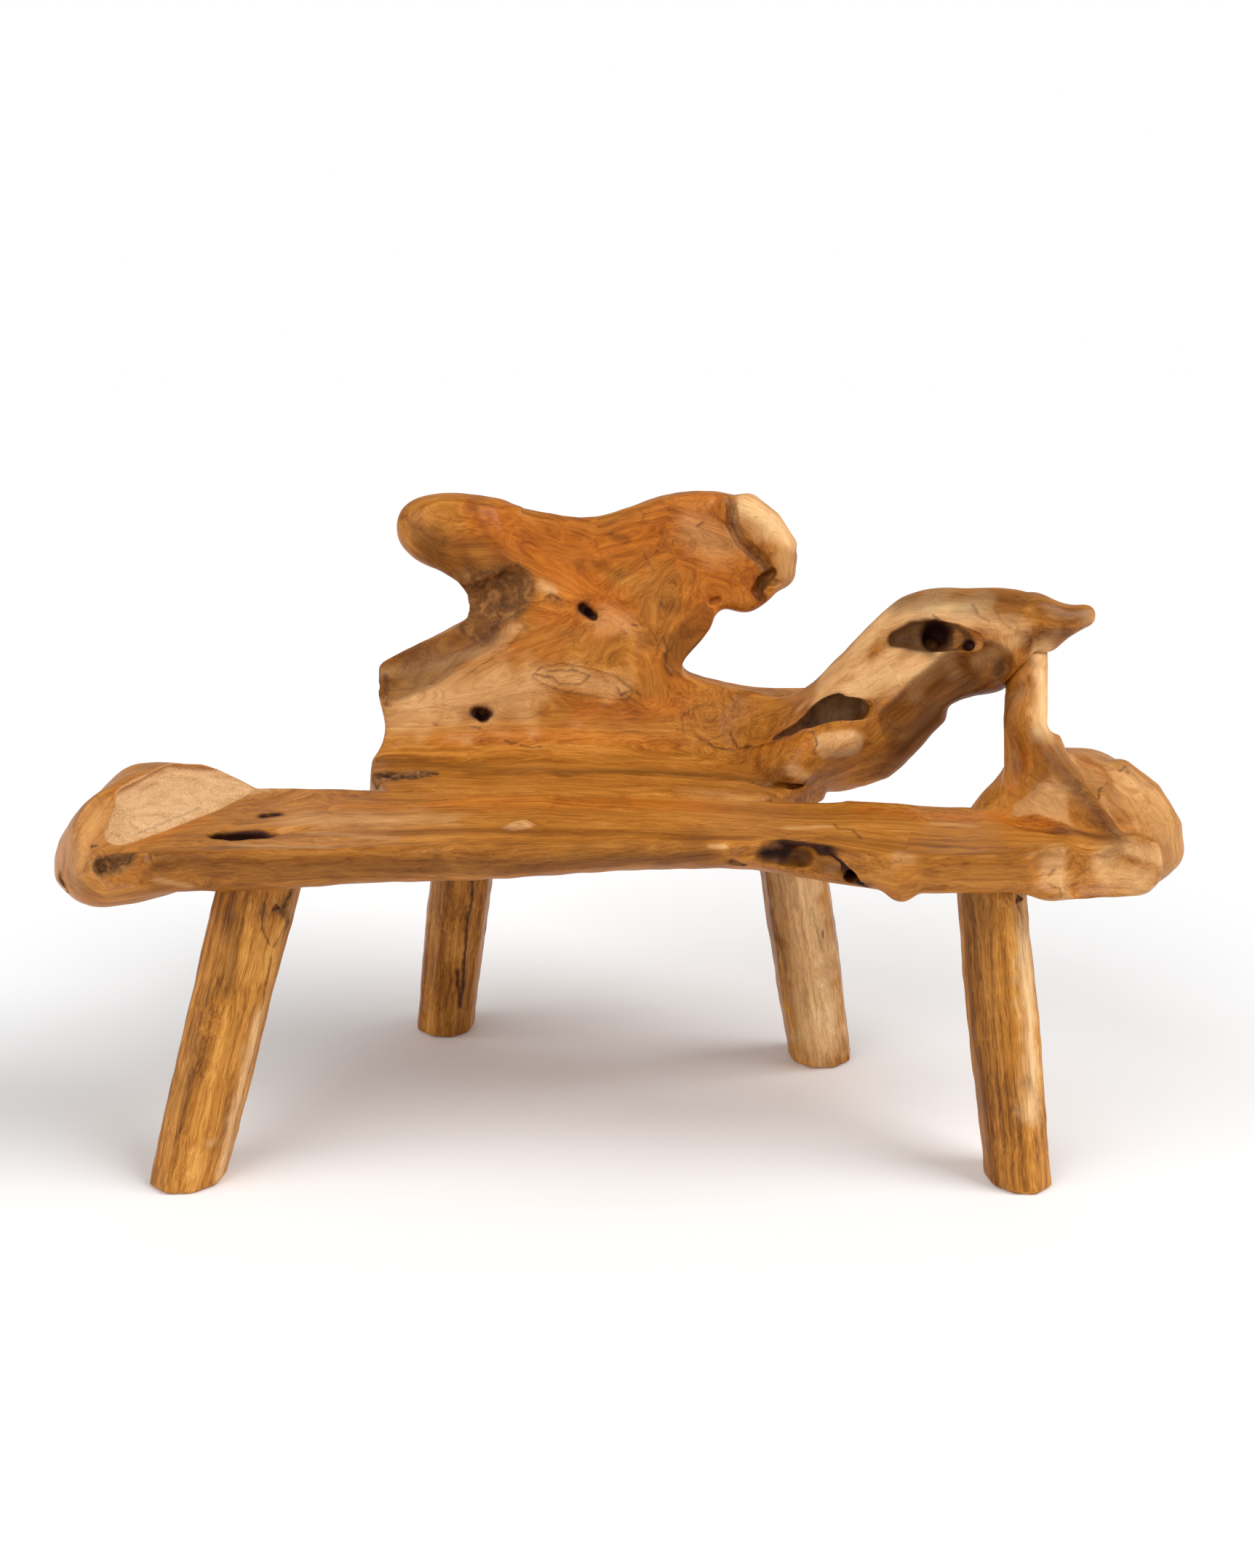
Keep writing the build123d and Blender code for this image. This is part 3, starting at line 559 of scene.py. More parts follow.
# the eye: a long hollow with a hole in it that painted shade makes black, and a smaller one beside
eye_pixels = [(1141, 815), (1164, 811), (1192, 811), (1216, 814), (1240, 819)]
eye = [back.mouth(*pixel, size, 3) for pixel, size in zip(eye_pixels, (14, 22, 24, 22, 18))]
eye_way = sight(*eye_pixels[2])
into_eye = (eye[2] - eye_way * 0.004, eye_way)
back.hollow(eye, [10, 19, 21, 19, 14], soft=1.5, strength=0.8, into=into_eye, spread=6)
eye_hole = [eye[2] + eye_way * 0.010, eye[2] + eye_way * 0.038]
back.hollow(eye_hole, [19, 17], into=into_eye, spread=20)
small_eye = back.mouths((1233, 822, 20, 10), (1236, 824, 20, 20))
back.hollow(small_eye, [8, 7], into=into_eye, spread=8)
# the beak: a round stub
beak = [(1335, 797), (1360, 793), (1382, 787)]
back.add(beak, [15, 15, 13], deep=13, soft=10)
arm_scar = [(1256, 866), (1262, 860)]
back.carve(arm_scar, [6, 6], soft=4, mark="dark")
# the cleft between the root and the plank, under its bright lip
cleft_lip = [(985, 984), (1008, 989), (1030, 987)]
back.add(cleft_lip, [6, 10, 6], deep=6, soft=12)
cleft = [(956, 999), (978, 1004), (1004, 1005), (1024, 1000)]
back.hollow(cleft, [5, 9, 8, 5], deep=4)


def behind(x, z):
    """The place on the root's rear face at that length and height, and the way it faces."""
    place, facing, *_ = back.tree.ray_cast(Vector((x, 1, z)), Vector((0, -1, 0)))
    return place, facing


# the rear face, hewn with shallow strokes, with two knot holes and a long split
HEWN_ROWS = 0.46 + 0.07 * np.arange(6)          # heights
HEWN_STEPS = -0.42 + 0.06 * np.arange(13)       # places along the length
HEWN_SWAY = 0.012
HEWN_HALF, HEWN_SLANT = 0.020, 0.008            # half a stroke's length, and how far it may slant
HEWN_RADIUS, HEWN_BITE = 0.085, (0.002, 0.0035)
REARWARD = 0.8                                  # only where the wood faces back this much
rng = np.random.default_rng(7)
for row in HEWN_ROWS:
    for step in HEWN_STEPS:
        x, z = step + rng.uniform(-HEWN_SWAY, HEWN_SWAY), row + rng.uniform(-HEWN_SWAY, HEWN_SWAY)
        half = Vector((HEWN_HALF, 0, rng.uniform(-HEWN_SLANT, HEWN_SLANT)))
        place, facing = behind(x, z)
        if place and facing.y > REARWARD:
            middle = place + facing * (HEWN_RADIUS - rng.uniform(*HEWN_BITE))
            back.carve([middle - half, middle + half], [HEWN_RADIUS * MM] * 2, soft=1)
inwards = Vector((0, -1, 0))
for opening, end, bore, radii in (((-0.10, 0.66), (-0.085, 0.652), 0.020, [13, 9]),
                                  ((0.16, 0.52), (0.165, 0.515), 0.015, [9, 7])):
    start, bottom = behind(*opening)[0], behind(*end)[0] + inwards * bore
    back.hollow([start, bottom], radii, soft=4, into=(start, inwards), spread=6)
rear_split = [(-0.34, 0.50), (-0.22, 0.505), (-0.12, 0.497), (-0.04, 0.503)]
back.hollow([behind(*p)[0] for p in rear_split], [2, 4.5, 4, 1], soft=1, strength=0.8)
back_mesh = back.mesh("back")

# ---- the legs ----------------------------------------------------------------------------------
CORNERS = ("front_left", "front_right", "rear_left", "rear_right")
leg_meshes = {}
for corner in CORNERS:
    leg_meshes[corner] = Wood("leg_" + corner, reach=15, pad=10).mesh("hewn_leg_" + corner)
cuts = {"seat": seat.marked, "back": back.marked}

# ---- paint: how the wood differs from place to place -------------------------------------------
surface = tree_of([seat_mesh, back_mesh, *leg_meshes.values()])
KNOT_PUSH = 0.6             # how much of each knot's push the layers take
GRAIN_STRETCH = 0.06        # how slowly the figure changes along the grain
GUIDE_BLEND = 0.02          # how near, in metres, guides of the grain blend into each other
CRACK_SWAY, CRACK_WAVE = 0.0008, 0.006      # how far a crack wanders off its path, in what steps
PATCH_SWAY, PATCH_WAVE = 0.25, 0.020        # by what share a soft patch's edge wanders


def places(pixels):
    """The places that pixels show on the sculpted wood."""
    return [seen(*pixel, surface)[0] for pixel in pixels]


def paint(points, strokes, crisp):
    """A mask: the most that any stroke (its radius, its strength and then its pixels) gives."""
    mask = np.zeros(len(points), np.float32)
    for size, strength, *pixels in strokes:
        path, radius = places(pixels), size / MM
        ends = np.array(path, np.float32)
        reach = radius * 2 + 0.005
        near = ((points > ends.min(axis=0) - reach) & (points < ends.max(axis=0) + reach)).all(axis=1)
        if not near.any():
            continue
        here = points[near]
        if crisp:
            sway = [waves(here, CRACK_WAVE, seed) for seed in (1, 2, 3)]
            away = along(here + CRACK_SWAY * np.stack(sway, axis=1), path, carry_on=False)[2]
            shade = ramp(away, radius, 0.0002)
        else:
            away = along(here, path, carry_on=False)[2]
            shade = ramp(away * (1 + PATCH_SWAY * waves(here, PATCH_WAVE, 5)), radius * 1.5, 0.0)
        mask[near] = np.maximum(mask[near], strength * shade)
    return mask


def store(mesh, name, values):
    """Puts numbers or vectors on a mesh's points, for its material."""
    kind, field = ("FLOAT_VECTOR", "vector") if values.ndim == 2 else ("FLOAT", "value")
    layer = mesh.attributes.new(name, kind, "POINT")
    layer.data.foreach_set(field, values.astype(np.float32).ravel())


def lay_grain(mesh, guides, knots):
    """Stores each point's place in the straightened wood: slow along the grain, quick across it.

    A knot (its place, its size, its push and how long it is) pushes the layers of the wood
    outwards round it, so that the surface cuts them in rings.
    """
    points = as_arrays(mesh)[0]
    total = np.zeros_like(points)
    weights = np.zeros(len(points), np.float32)
    for guide in guides:
        length, offset, distance = along(points, guide)
        path_size = sum(math.dist(p, q) for p, q in zip(guide, guide[1:]))
        past = np.maximum(np.maximum(-length, length - path_size), 0)
        weight = 1 / (GUIDE_BLEND + np.sqrt(distance ** 2 + past ** 2)) ** 3
        way = np.array(guide[-1], np.float32) - np.array(guide[0], np.float32)
        way /= np.linalg.norm(way)
        total += weight[:, None] * (offset + length[:, None] * way * GRAIN_STRETCH)
        weights += weight
    grain = total / weights[:, None]
    for spot, size, push, stretch in knots:
        middle, facing = seen(*spot, surface) if len(spot) == 2 else (spot, (0, 1, 0))
        away = points - np.array(middle, np.float32)
        away[:, 0] /= stretch
        falloff = np.exp(-(np.linalg.norm(away, axis=1) / (size / MM)) ** 2)
        grain += (KNOT_PUSH * (push / MM) * falloff)[:, None] * np.array(facing, np.float32)
    store(mesh, "grain", grain)


# the ways the grain runs, as pixels along it
seat_grain = dict(
    top=[(190, 1064), (420, 1040), (700, 1035), (1000, 1050), (1250, 1060), (1420, 1075)],
    front_left=[(200, 1110), (500, 1110), (800, 1100), (960, 1092)],
    front_right=[(1060, 1095), (1150, 1115), (1300, 1110), (1460, 1100)],
    bulb=[(320, 1000), (230, 985), (150, 1010), (100, 1070), (90, 1120), (140, 1145), (240, 1125)],
    post=[(1290, 850), (1285, 930), (1300, 1000), (1380, 1050), (1430, 1068)],
    fin=[(1330, 840), (1325, 920), (1370, 985), (1425, 1050)],
    lump=[(1370, 965), (1440, 990), (1490, 1050), (1495, 1095)])
back_grain = dict(
    horn=[(500, 690), (560, 700), (640, 705), (720, 745), (800, 790), (860, 850), (900, 880)],
    top=[(560, 640), (660, 650), (760, 680), (850, 660), (930, 690)],
    face=[(490, 880), (560, 870), (640, 830), (720, 800), (790, 740), (860, 700), (930, 720)],
    cove_and_arm=[(490, 930), (620, 925), (760, 920), (880, 925), (960, 900), (1010, 890),
                  (1060, 850), (1120, 790), (1200, 765), (1300, 775), (1390, 788)],
    base=[(490, 975), (700, 975), (900, 985), (1060, 985), (1120, 960), (1180, 910), (1250, 865)],
    waist=[(870, 740), (850, 790), (830, 840), (840, 890)],
    rim=[(940, 640), (985, 660), (1005, 700), (1000, 740)],
    crotch=[(600, 745), (610, 790), (560, 815), (500, 845)])
# knots: a pixel or a place, a size and a push in millimetres, and how much longer than high
seat_knots = dict(
    bark_knot=((148, 1101), 30, 30, 1), worn_knot=((661, 1050), 14, 12, 1.4),
    left_burr=((1360, 1108), 26, 30, 1), right_burr=((1445, 1108), 30, 35, 1.2),
    bulb_left=((92, 1125), 30, 18, 1), small_knot=((1175, 1043), 7, 8, 1),
    lump=((1445, 1000), 30, 20, 1.5), bulb_top=((190, 1000), 30, 20, 1.6))
back_knots = dict(
    lobe=((867, 690), 28, 40, 1), swirl=((904, 914), 34, 45, 0.9), waist=((826, 818), 20, 26, 1.3),
    island=((742, 868), 30, 22, 2.2), knot_hole=((749, 781), 26, 30, 1.3),
    scar=((706, 763), 18, 22, 1.2), low_hole=((615, 913), 22, 24, 1.2), curl=((950, 738), 16, 24, 1),
    figure=((855, 775), 26, 18, 1.2), grown_in=((1070, 948), 22, 20, 1.3),
    eye=((1200, 812), 45, 30, 1.5), horn=((600, 645), 20, 16, 1), base=((715, 990), 18, 14, 1.8),
    cove=((660, 890), 30, -16, 1.6), rear_left=(behind(-0.093, 0.656)[0], 30, 35, 1.3),
    rear_low=(behind(0.162, 0.518)[0], 24, 28, 1.3), rear_side=(behind(-0.30, 0.60)[0], 34, 30, 1.6),
    rear_top=(behind(0.05, 0.75)[0], 30, 30, 1.2))
leg_knots = dict(
    front_left=[((266, 1307), 16, 18, 1)], front_right=[((1282, 1141), 12, 16, 1)],
    rear_left=[((570, 1180), 20, 14, 1)],
    rear_right=[((1052, 1239), 20, 26, 1), ((1048, 1192), 7, 12, 1)])

# strokes of paint: a radius in millimetres, a strength, and the pixels it passes
# sun-bleached and freshly planed wood, and painted highlights and sheen where the light falls on rims, lit
# sides and the seat's top
pale = dict(
    bulb_shoulder=(22, 0.4, (240, 982), (290, 992), (330, 1006)),
    # the post's right side: a painted highlight where the light falls on it
    bulb_side=(40, 0.25, (120, 1040), (95, 1085)), post_right_highlight=(20, 1, (1332, 830), (1333, 880), (1330, 930)),
    arm_shoulder=(36, 0.85, (1050, 880), (1090, 830), (1130, 785), (1190, 775), (1230, 780)),
    arm_face=(36, 1, (1060, 895), (1100, 865), (1140, 850), (1190, 838)),
    beak_root=(16, 0.5, (1240, 790), (1300, 800)),
    arm_ridge=(12, 0.6, (1245, 845), (1270, 832), (1300, 815)),
    # on the seat's left top: a painted sheen
    island=(20, 0.4, (690, 862), (735, 866), (790, 878)), seat_sheen=(35, 0.3, (380, 1045), (560, 1045)),
    # on the lobe's rim: painted highlights where the light catches it
    lobe_rim_highlight=(30, 1, (952, 645), (980, 655), (1003, 685)), lobe_rim_foot=(22, 0.5, (1004, 700), (1006, 735)),
    lobe_rim_top_highlight=(20, 1, (955, 650), (975, 662)),
    lump=(50, 0.35, (1375, 970), (1440, 1000), (1490, 1060), (1495, 1095)),
    lump_edge=(22, 0.4, (1470, 1030), (1495, 1075)), burr_arris=(16, 0.8, (1440, 1082), (1478, 1095)),
    left_burr=(26, 0.6, (1340, 1105), (1352, 1125)), right_burr=(28, 0.65, (1410, 1110), (1450, 1125)),
    ledge_band=(14, 0.45, (490, 856), (560, 850), (620, 830), (660, 800)),
    seat_wear=(8, 0.35, (1005, 1055), (1055, 1054)), edge_wear=(10, 0.3, (1145, 1092), (1160, 1094)),
    burl_edge=(4, 0.6, (905, 1080), (925, 1080)), beak_tip=(12, 0.5, (1385, 788), (1392, 788)),
    back_left=(50, 0.55, (520, 900), (600, 885), (660, 880)), scar=(10, 0.5, (690, 745), (705, 755)),
    below_knot=(22, 0.3, (770, 790), (800, 800)), lobe_face=(30, 0.3, (880, 670), (915, 700)),
    cleft_lip=(8, 0.5, (1010, 985), (1030, 990)), joint=(20, 0.15, (880, 1010), (950, 1020)),
    bulb_scrape=(6, 0.4, (200, 1122), (240, 1130)), seat_streak=(10, 0.25, (400, 1062), (500, 1068)),
    front_arris=(8, 0.3, (300, 1080), (420, 1080)), right_streak=(8, 0.25, (1190, 1050), (1240, 1054)))
# the orange heartwood of the back and the seat's middle
warm = dict(
    upper_left=(45, 1, (625, 660), (680, 700), (740, 745), (790, 785)),
    top=(50, 0.9, (700, 690), (780, 700), (850, 670), (900, 650)),
    lobe=(55, 0.8, (880, 710), (930, 735), (900, 780)), lobe_foot=(24, 1, (955, 735), (972, 770)),
    knot_side=(25, 0.8, (690, 780), (730, 790)), cove=(18, 0.5, (560, 945), (700, 938), (860, 950)),
    below_island=(24, 0.6, (745, 905), (860, 902)),
    seat_rear=(30, 0.6, (560, 1025), (760, 1022), (900, 1030)),
    flare_foot=(22, 0.9, (1250, 1038), (1340, 1052)), neck=(18, 0.5, (970, 950), (1030, 946)),
    seat_right=(20, 0.6, (1100, 1035), (1240, 1045)), waist=(30, 0.5, (840, 840), (880, 880)),
    flare=(16, 0.5, (1290, 1000), (1305, 960)), above_island=(30, 0.4, (640, 830), (700, 820)),
    scoop_edge=(12, 0.5, (180, 1075), (260, 1045)), seat_left=(20, 0.4, (430, 1030), (500, 1030)))
# grey-brown wood, and painted shade on undersides, in hollows and clefts and on sides turned from the light
dark = dict(
    # under the horn and under the arm: painted shade on surfaces that face down
    horn_under_shade=(30, 1, (520, 710), (570, 730), (640, 730)), crotch_top=(24, 0.5, (640, 738), (668, 748)),
    arm_under_shade=(36, 1, (1125, 980), (1170, 935), (1220, 897), (1262, 874)),
    horn_ridge=(6, 0.5, (604, 648), (620, 682), (642, 704), (668, 732)),
    # in the hollow under the front edge: painted shade
    front_hollow=(14, 0.9, (985, 1094), (1030, 1096), (1060, 1108), (1100, 1128)),
    arm_foot=(16, 0.5, (1060, 970), (1100, 950), (1130, 930)), cove_line=(10, 0.3, (480, 960), (900, 960)),
    ledge=(16, 0.6, (500, 840), (560, 824), (608, 806)),
    base=(20, 0.8, (480, 972), (640, 980), (900, 988), (990, 990)),
    front_low=(18, 0.35, (200, 1130), (500, 1122)), front=(24, 0.9, (200, 1100), (500, 1105), (900, 1092)),
    front_right=(20, 0.3, (1090, 1100), (1300, 1110)),
    # the post's left side: painted shade on the side turned from the light
    post_left_shade=(22, 0.75, (1285, 880), (1290, 940), (1295, 980)), fin=(24, 0.55, (1320, 940), (1330, 975)),
    flare_ridge=(26, 0.9, (1345, 965), (1385, 1015), (1420, 1058)),
    flare_line=(8, 0.9, (1300, 1056), (1390, 1066), (1425, 1072)),
    neck_side=(18, 0.5, (898, 795), (872, 838)), neck_split=(8, 0.8, (855, 812), (850, 848)),
    seat_front=(16, 0.4, (500, 1062), (760, 1062), (900, 1062)), bulb_low=(18, 0.6, (90, 1122), (112, 1136)),
    # under the beak: painted shade
    beak=(20, 0.9, (1325, 778), (1380, 784)), beak_under_shade=(16, 0.9, (1310, 815), (1360, 808)),
    figure_spot=(14, 0.6, (848, 772), (872, 778)), eye_spot=(14, 0.5, (820, 818), (832, 820)),
    # painted shade at the cleft between the root and the plank, here and in its stroke two lines below
    cleft_shade=(14, 0.5, (1095, 965), (1060, 985), (1040, 990)),
    seat_edge=(12, 0.5, (1060, 1068), (1200, 1078)), arm_top=(30, 1, (1150, 768), (1210, 762), (1300, 764)),
    cleft=(18, 0.6, (970, 985), (1000, 992)), top_streak=(8, 0.8, (780, 683), (800, 688)),
    face_streak=(12, 0.4, (770, 724), (790, 732)), base_spot=(10, 0.6, (700, 982), (720, 990)),
    bulb_foot=(10, 0.4, (150, 1140), (260, 1135)), crotch_side=(20, 0.6, (675, 762), (640, 790), (625, 815)),
    horn_top=(8, 0.6, (600, 640), (606, 650)), front_edge_left=(6, 0.35, (300, 1074), (560, 1078)),
    front_edge_right=(6, 0.6, (1360, 1084), (1300, 1090), (1220, 1088)),
    beak_top=(10, 0.3, (1400, 770), (1340, 765)), eye_lid=(8, 0.5, (1180, 790), (1210, 796)))
# bark, rot and broken wood
bark = dict(
    crotch=(14, 0.8, (592, 752), (600, 770), (592, 786)),
    base_end=(18, 1, (484, 990), (516, 990), (540, 989)),
    post_top=(9, 0.8, (1276, 846), (1270, 862), (1280, 884)), bulb_low=(6, 0.7, (75, 1124), (78, 1132)),
    curl=(10, 0.7, (974, 742), (972, 760)), neck_hollow=(12, 0.5, (1028, 922), (1095, 904)),
    burl=(6, 0.6, (930, 1100), (950, 1102)), burl_top=(5, 0.5, (938, 1086), (952, 1082)))
# painted deep shade in hollows, under the arm and along the base
cave = dict(
    arm_under_shade=(18, 0.5, (1140, 992), (1178, 950), (1222, 908), (1262, 886)),
    arm_under_rear=(18, 0.5, (1150, 955), (1200, 905), (1245, 872)),
    base_shade=(12, 0.3, (600, 986), (750, 986), (900, 990)), base_end=(8, 0.7, (486, 990), (500, 990)),
    left_slot=(6, 0.6, (492, 862), (492, 898)))
# thin dark lines: cracks, splits and the edges of grown-in knots
crack = dict(
    island_rim=(3, 0.45, (678, 862), (690, 850), (718, 846), (750, 852), (785, 862), (808, 882),
        (800, 892), (770, 890), (720, 882), (690, 872), (678, 862)),
    island_ring=(3, 0.6, (682, 860), (706, 864), (712, 872), (740, 872), (752, 862), (730, 854), (700, 856)),
    island_end=(3, 0.6, (786, 876), (792, 886), (806, 880)), island_split=(3, 0.5, (790, 866), (818, 888)),
    face_check=(3, 0.4, (820, 704), (826, 716), (834, 728)),
    face_check_foot=(3, 0.3, (814, 730), (834, 729)),
    cove_split=(3.6, 0.9, (904, 948), (912, 953), (924, 955), (945, 954), (958, 950)),
    cove_branch=(3, 0.8, (931, 934), (936, 946), (940, 952)),
    cove_check_left=(3.6, 0.7, (644, 945), (652, 948), (660, 947)),
    cove_check_right=(3, 0.7, (664, 950), (676, 953), (690, 952)),
    swirl_tail=(3, 0.5, (884, 903), (868, 915), (872, 935)),
    swirl_ring=(3, 0.35, (885, 905), (900, 897), (920, 905), (926, 920), (918, 938), (900, 945), (886, 938)),
    below_low_knot=(3.12, 0.7, (600, 927), (612, 929)), left_check=(3, 0.5, (552, 922), (558, 924)),
    neck_split=(3, 0.7, (954, 954), (990, 946), (1036, 934)),
    neck_split_low=(3, 0.5, (968, 972), (1010, 966), (1040, 962)),
    grown_in_knot=(3, 0.9, (1038, 935), (1042, 948), (1038, 957)),
    rim_split=(3, 0.5, (930, 634), (936, 650), (933, 668), (944, 690), (960, 704), (974, 716)),
    seat_crack=(3.6, 0.7, (1063, 1051), (1069, 1057), (1077, 1058), (1087, 1059), (1092, 1064),
        (1098, 1070)), bulb_pinhole=(3.6, 0.9, (118, 1079), (123, 1078)),
    bulb_check=(3, 0.5, (123, 1014), (130, 1024)),
    scoop_rim=(3, 0.35, (134, 1078), (180, 1062), (250, 1032), (326, 1002)),
    lump_check=(3, 0.8, (1400, 1020), (1402, 1006), (1412, 999)),
    lump_check_top=(3, 0.6, (1428, 985), (1434, 978), (1440, 986)),
    top_check=(3.12, 0.4, (815, 652), (822, 656), (818, 664)), lobe_check=(3, 0.7, (890, 670), (896, 666)),
    scar_rim=(3, 0.7, (696, 762), (704, 758), (716, 766), (706, 768)),
    knot_hole_rim=(3, 0.5, (740, 774), (746, 788), (756, 792), (762, 786)),
    pinhole=(3.6, 0.8, (806, 796), (812, 798)), figure_check=(3, 0.6, (842, 768), (846, 776)),
    waist_split=(3.6, 0.7, (846, 812), (850, 830), (848, 850), (856, 862)),
    front_pinhole=(3, 0.6, (1230, 1100), (1234, 1101)), burr_line=(3, 0.5, (1398, 1090), (1410, 1092)),
    burr_check=(3, 0.6, (1345, 1108), (1338, 1116)),
    burr_foot=(3, 0.6, (1338, 1128), (1350, 1134), (1352, 1144)),
    cleft=(3, 0.8, (960, 1000), (985, 1008), (1010, 1006), (1028, 996)),
    edge_nick=(3, 0.4, (396, 1070), (402, 1086)), arm_line=(3, 0.2, (1180, 900), (1120, 905)),
    beak_ring=(3, 0.5, (1240, 770), (1248, 786), (1262, 792)),
    beak_ring_front=(3, 0.4, (1268, 775), (1276, 792), (1290, 800)),
    eye_lid=(3, 0.7, (1190, 785), (1196, 789), (1188, 792)),
    ledge_line=(3, 0.35, (540, 872), (600, 856), (645, 828), (668, 800)),
    flake_left=(3, 0.8, (340, 1141), (335, 1163), (333, 1184), (343, 1205)),
    flake_right=(3.6, 0.9, (368, 1139), (357, 1163), (364, 1178), (349, 1208)),
    front_left_leg=(3, 0.7, (346, 1221), (341, 1248), (325, 1333), (298, 1440), (287, 1499)),
    rear_left_leg=(5.4, 1, (602, 1123), (601, 1147), (595, 1172), (594, 1197), (591, 1229), (590, 1257),
        (586, 1284), (582, 1322)),
    rear_right_leg=(3, 0.4, (1023, 1110), (1035, 1159), (1045, 1201), (1050, 1215)),
    rear_right_leg_inner=(3, 0.3, (1018, 1110), (1028, 1150), (1034, 1180)),
    leg_knot=(4.8, 0.9, (1048, 1188), (1049, 1196)),
    front_right_leg_left=(3, 0.5, (1240, 1150), (1250, 1250)),
    front_right_leg_long=(3, 0.4, (1262, 1150), (1268, 1300), (1276, 1420)),
    front_right_leg_edge=(3, 0.4, (1228, 1160), (1236, 1300)))
marks = dict(pale=pale, warm=warm, dark=dark, bark=bark, end={}, cave=cave, crack=crack)
# on the legs, the dark strokes are partly grey wood and partly painted shade on facets turned from the
# light, and the pale strokes are partly bleached wood and partly painted light on lit facets
leg_marks = dict(
    dark=dict(
        rear_left=(35, 0.4, (560, 1130), (575, 1310)), front_right=(34, 0.7, (1240, 1150), (1260, 1500)),
        front_left_inner=(14, 0.8, (298, 1173), (295, 1227), (285, 1264)),
        front_left_foot=(30, 0.5, (250, 1340), (200, 1520)),
        rear_right=(20, 0.6, (990, 1120), (1000, 1200), (1020, 1340)),
        front_right_foot=(12, 0.7, (1310, 1380), (1330, 1520)),
        rear_left_outer=(20, 0.5, (540, 1150), (525, 1300))),
    pale=dict(
        # the front right leg's right edge: painted light on its lit strip
        front_right_lit_edge=(16, 0.6, (1302, 1150), (1318, 1420)),
        front_left_foot=(12, 0.5, (330, 1300), (280, 1500)),
        # the rear right leg: painted light that brightens it where the seat shades it
        rear_right=(45, 0.7, (1020, 1130), (1030, 1200), (1050, 1330))),
    bark=dict(
        flake=(7, 0.8, (372, 1135), (360, 1160), (366, 1178)),
        screw_rust=(8, 0.6, (335, 1161), (335, 1165))))

for mesh, guides, knots in ((seat_mesh, seat_grain, seat_knots), (back_mesh, back_grain, back_knots)):
    lay_grain(mesh, [places(guide) for guide in guides.values()], knots.values())
FOOT_UNDER, HEAD_OVER = 0.02, 0.36      # heights that part a leg's two ends from the rest
for corner, mesh in leg_meshes.items():
    points = as_arrays(mesh)[0]
    foot = points[points[:, 2] < FOOT_UNDER].mean(axis=0)
    head = points[points[:, 2] > HEAD_OVER].mean(axis=0)
    lay_grain(mesh, [[tuple(foot), tuple(head)]], leg_knots[corner])

BEND, TOOL_MARK = (0.0012, 0.09), (0.0004, 0.02)    # a wave's height and its length
COARSE, FINE = 0.012, 0.006                         # the lengths of rough bark's waves
BARK_RELIEF, CAVE_RELIEF, CRACK_DEPTH = 0.0022, 0.0010, 0.0014
for seed, mesh in enumerate([seat_mesh, back_mesh, *leg_meshes.values()]):
    points = as_arrays(mesh)[0]
    on_leg, cut, masks = seed > 1, cuts.get(mesh.name, {}), {}
    for name in marks:
        strokes = [*marks[name].values(), *(leg_marks.get(name, {}).values() if on_leg else ())]
        masks[name] = np.maximum(paint(points, strokes, name == "crack"), cut.get(name, 0))
        store(mesh, name, masks[name])
    rough = np.abs(waves(points, COARSE, 30 + seed)) + 0.5 * np.abs(waves(points, FINE, 40 + seed))
    relief = BARK_RELIEF * masks["bark"] + CAVE_RELIEF * masks["cave"]
    height = BEND[0] * waves(points, BEND[1], 10 + seed)
    height += TOOL_MARK[0] * waves(points, TOOL_MARK[1], 20 + seed)
    move(mesh, height - relief * rough - CRACK_DEPTH * masks["crack"])


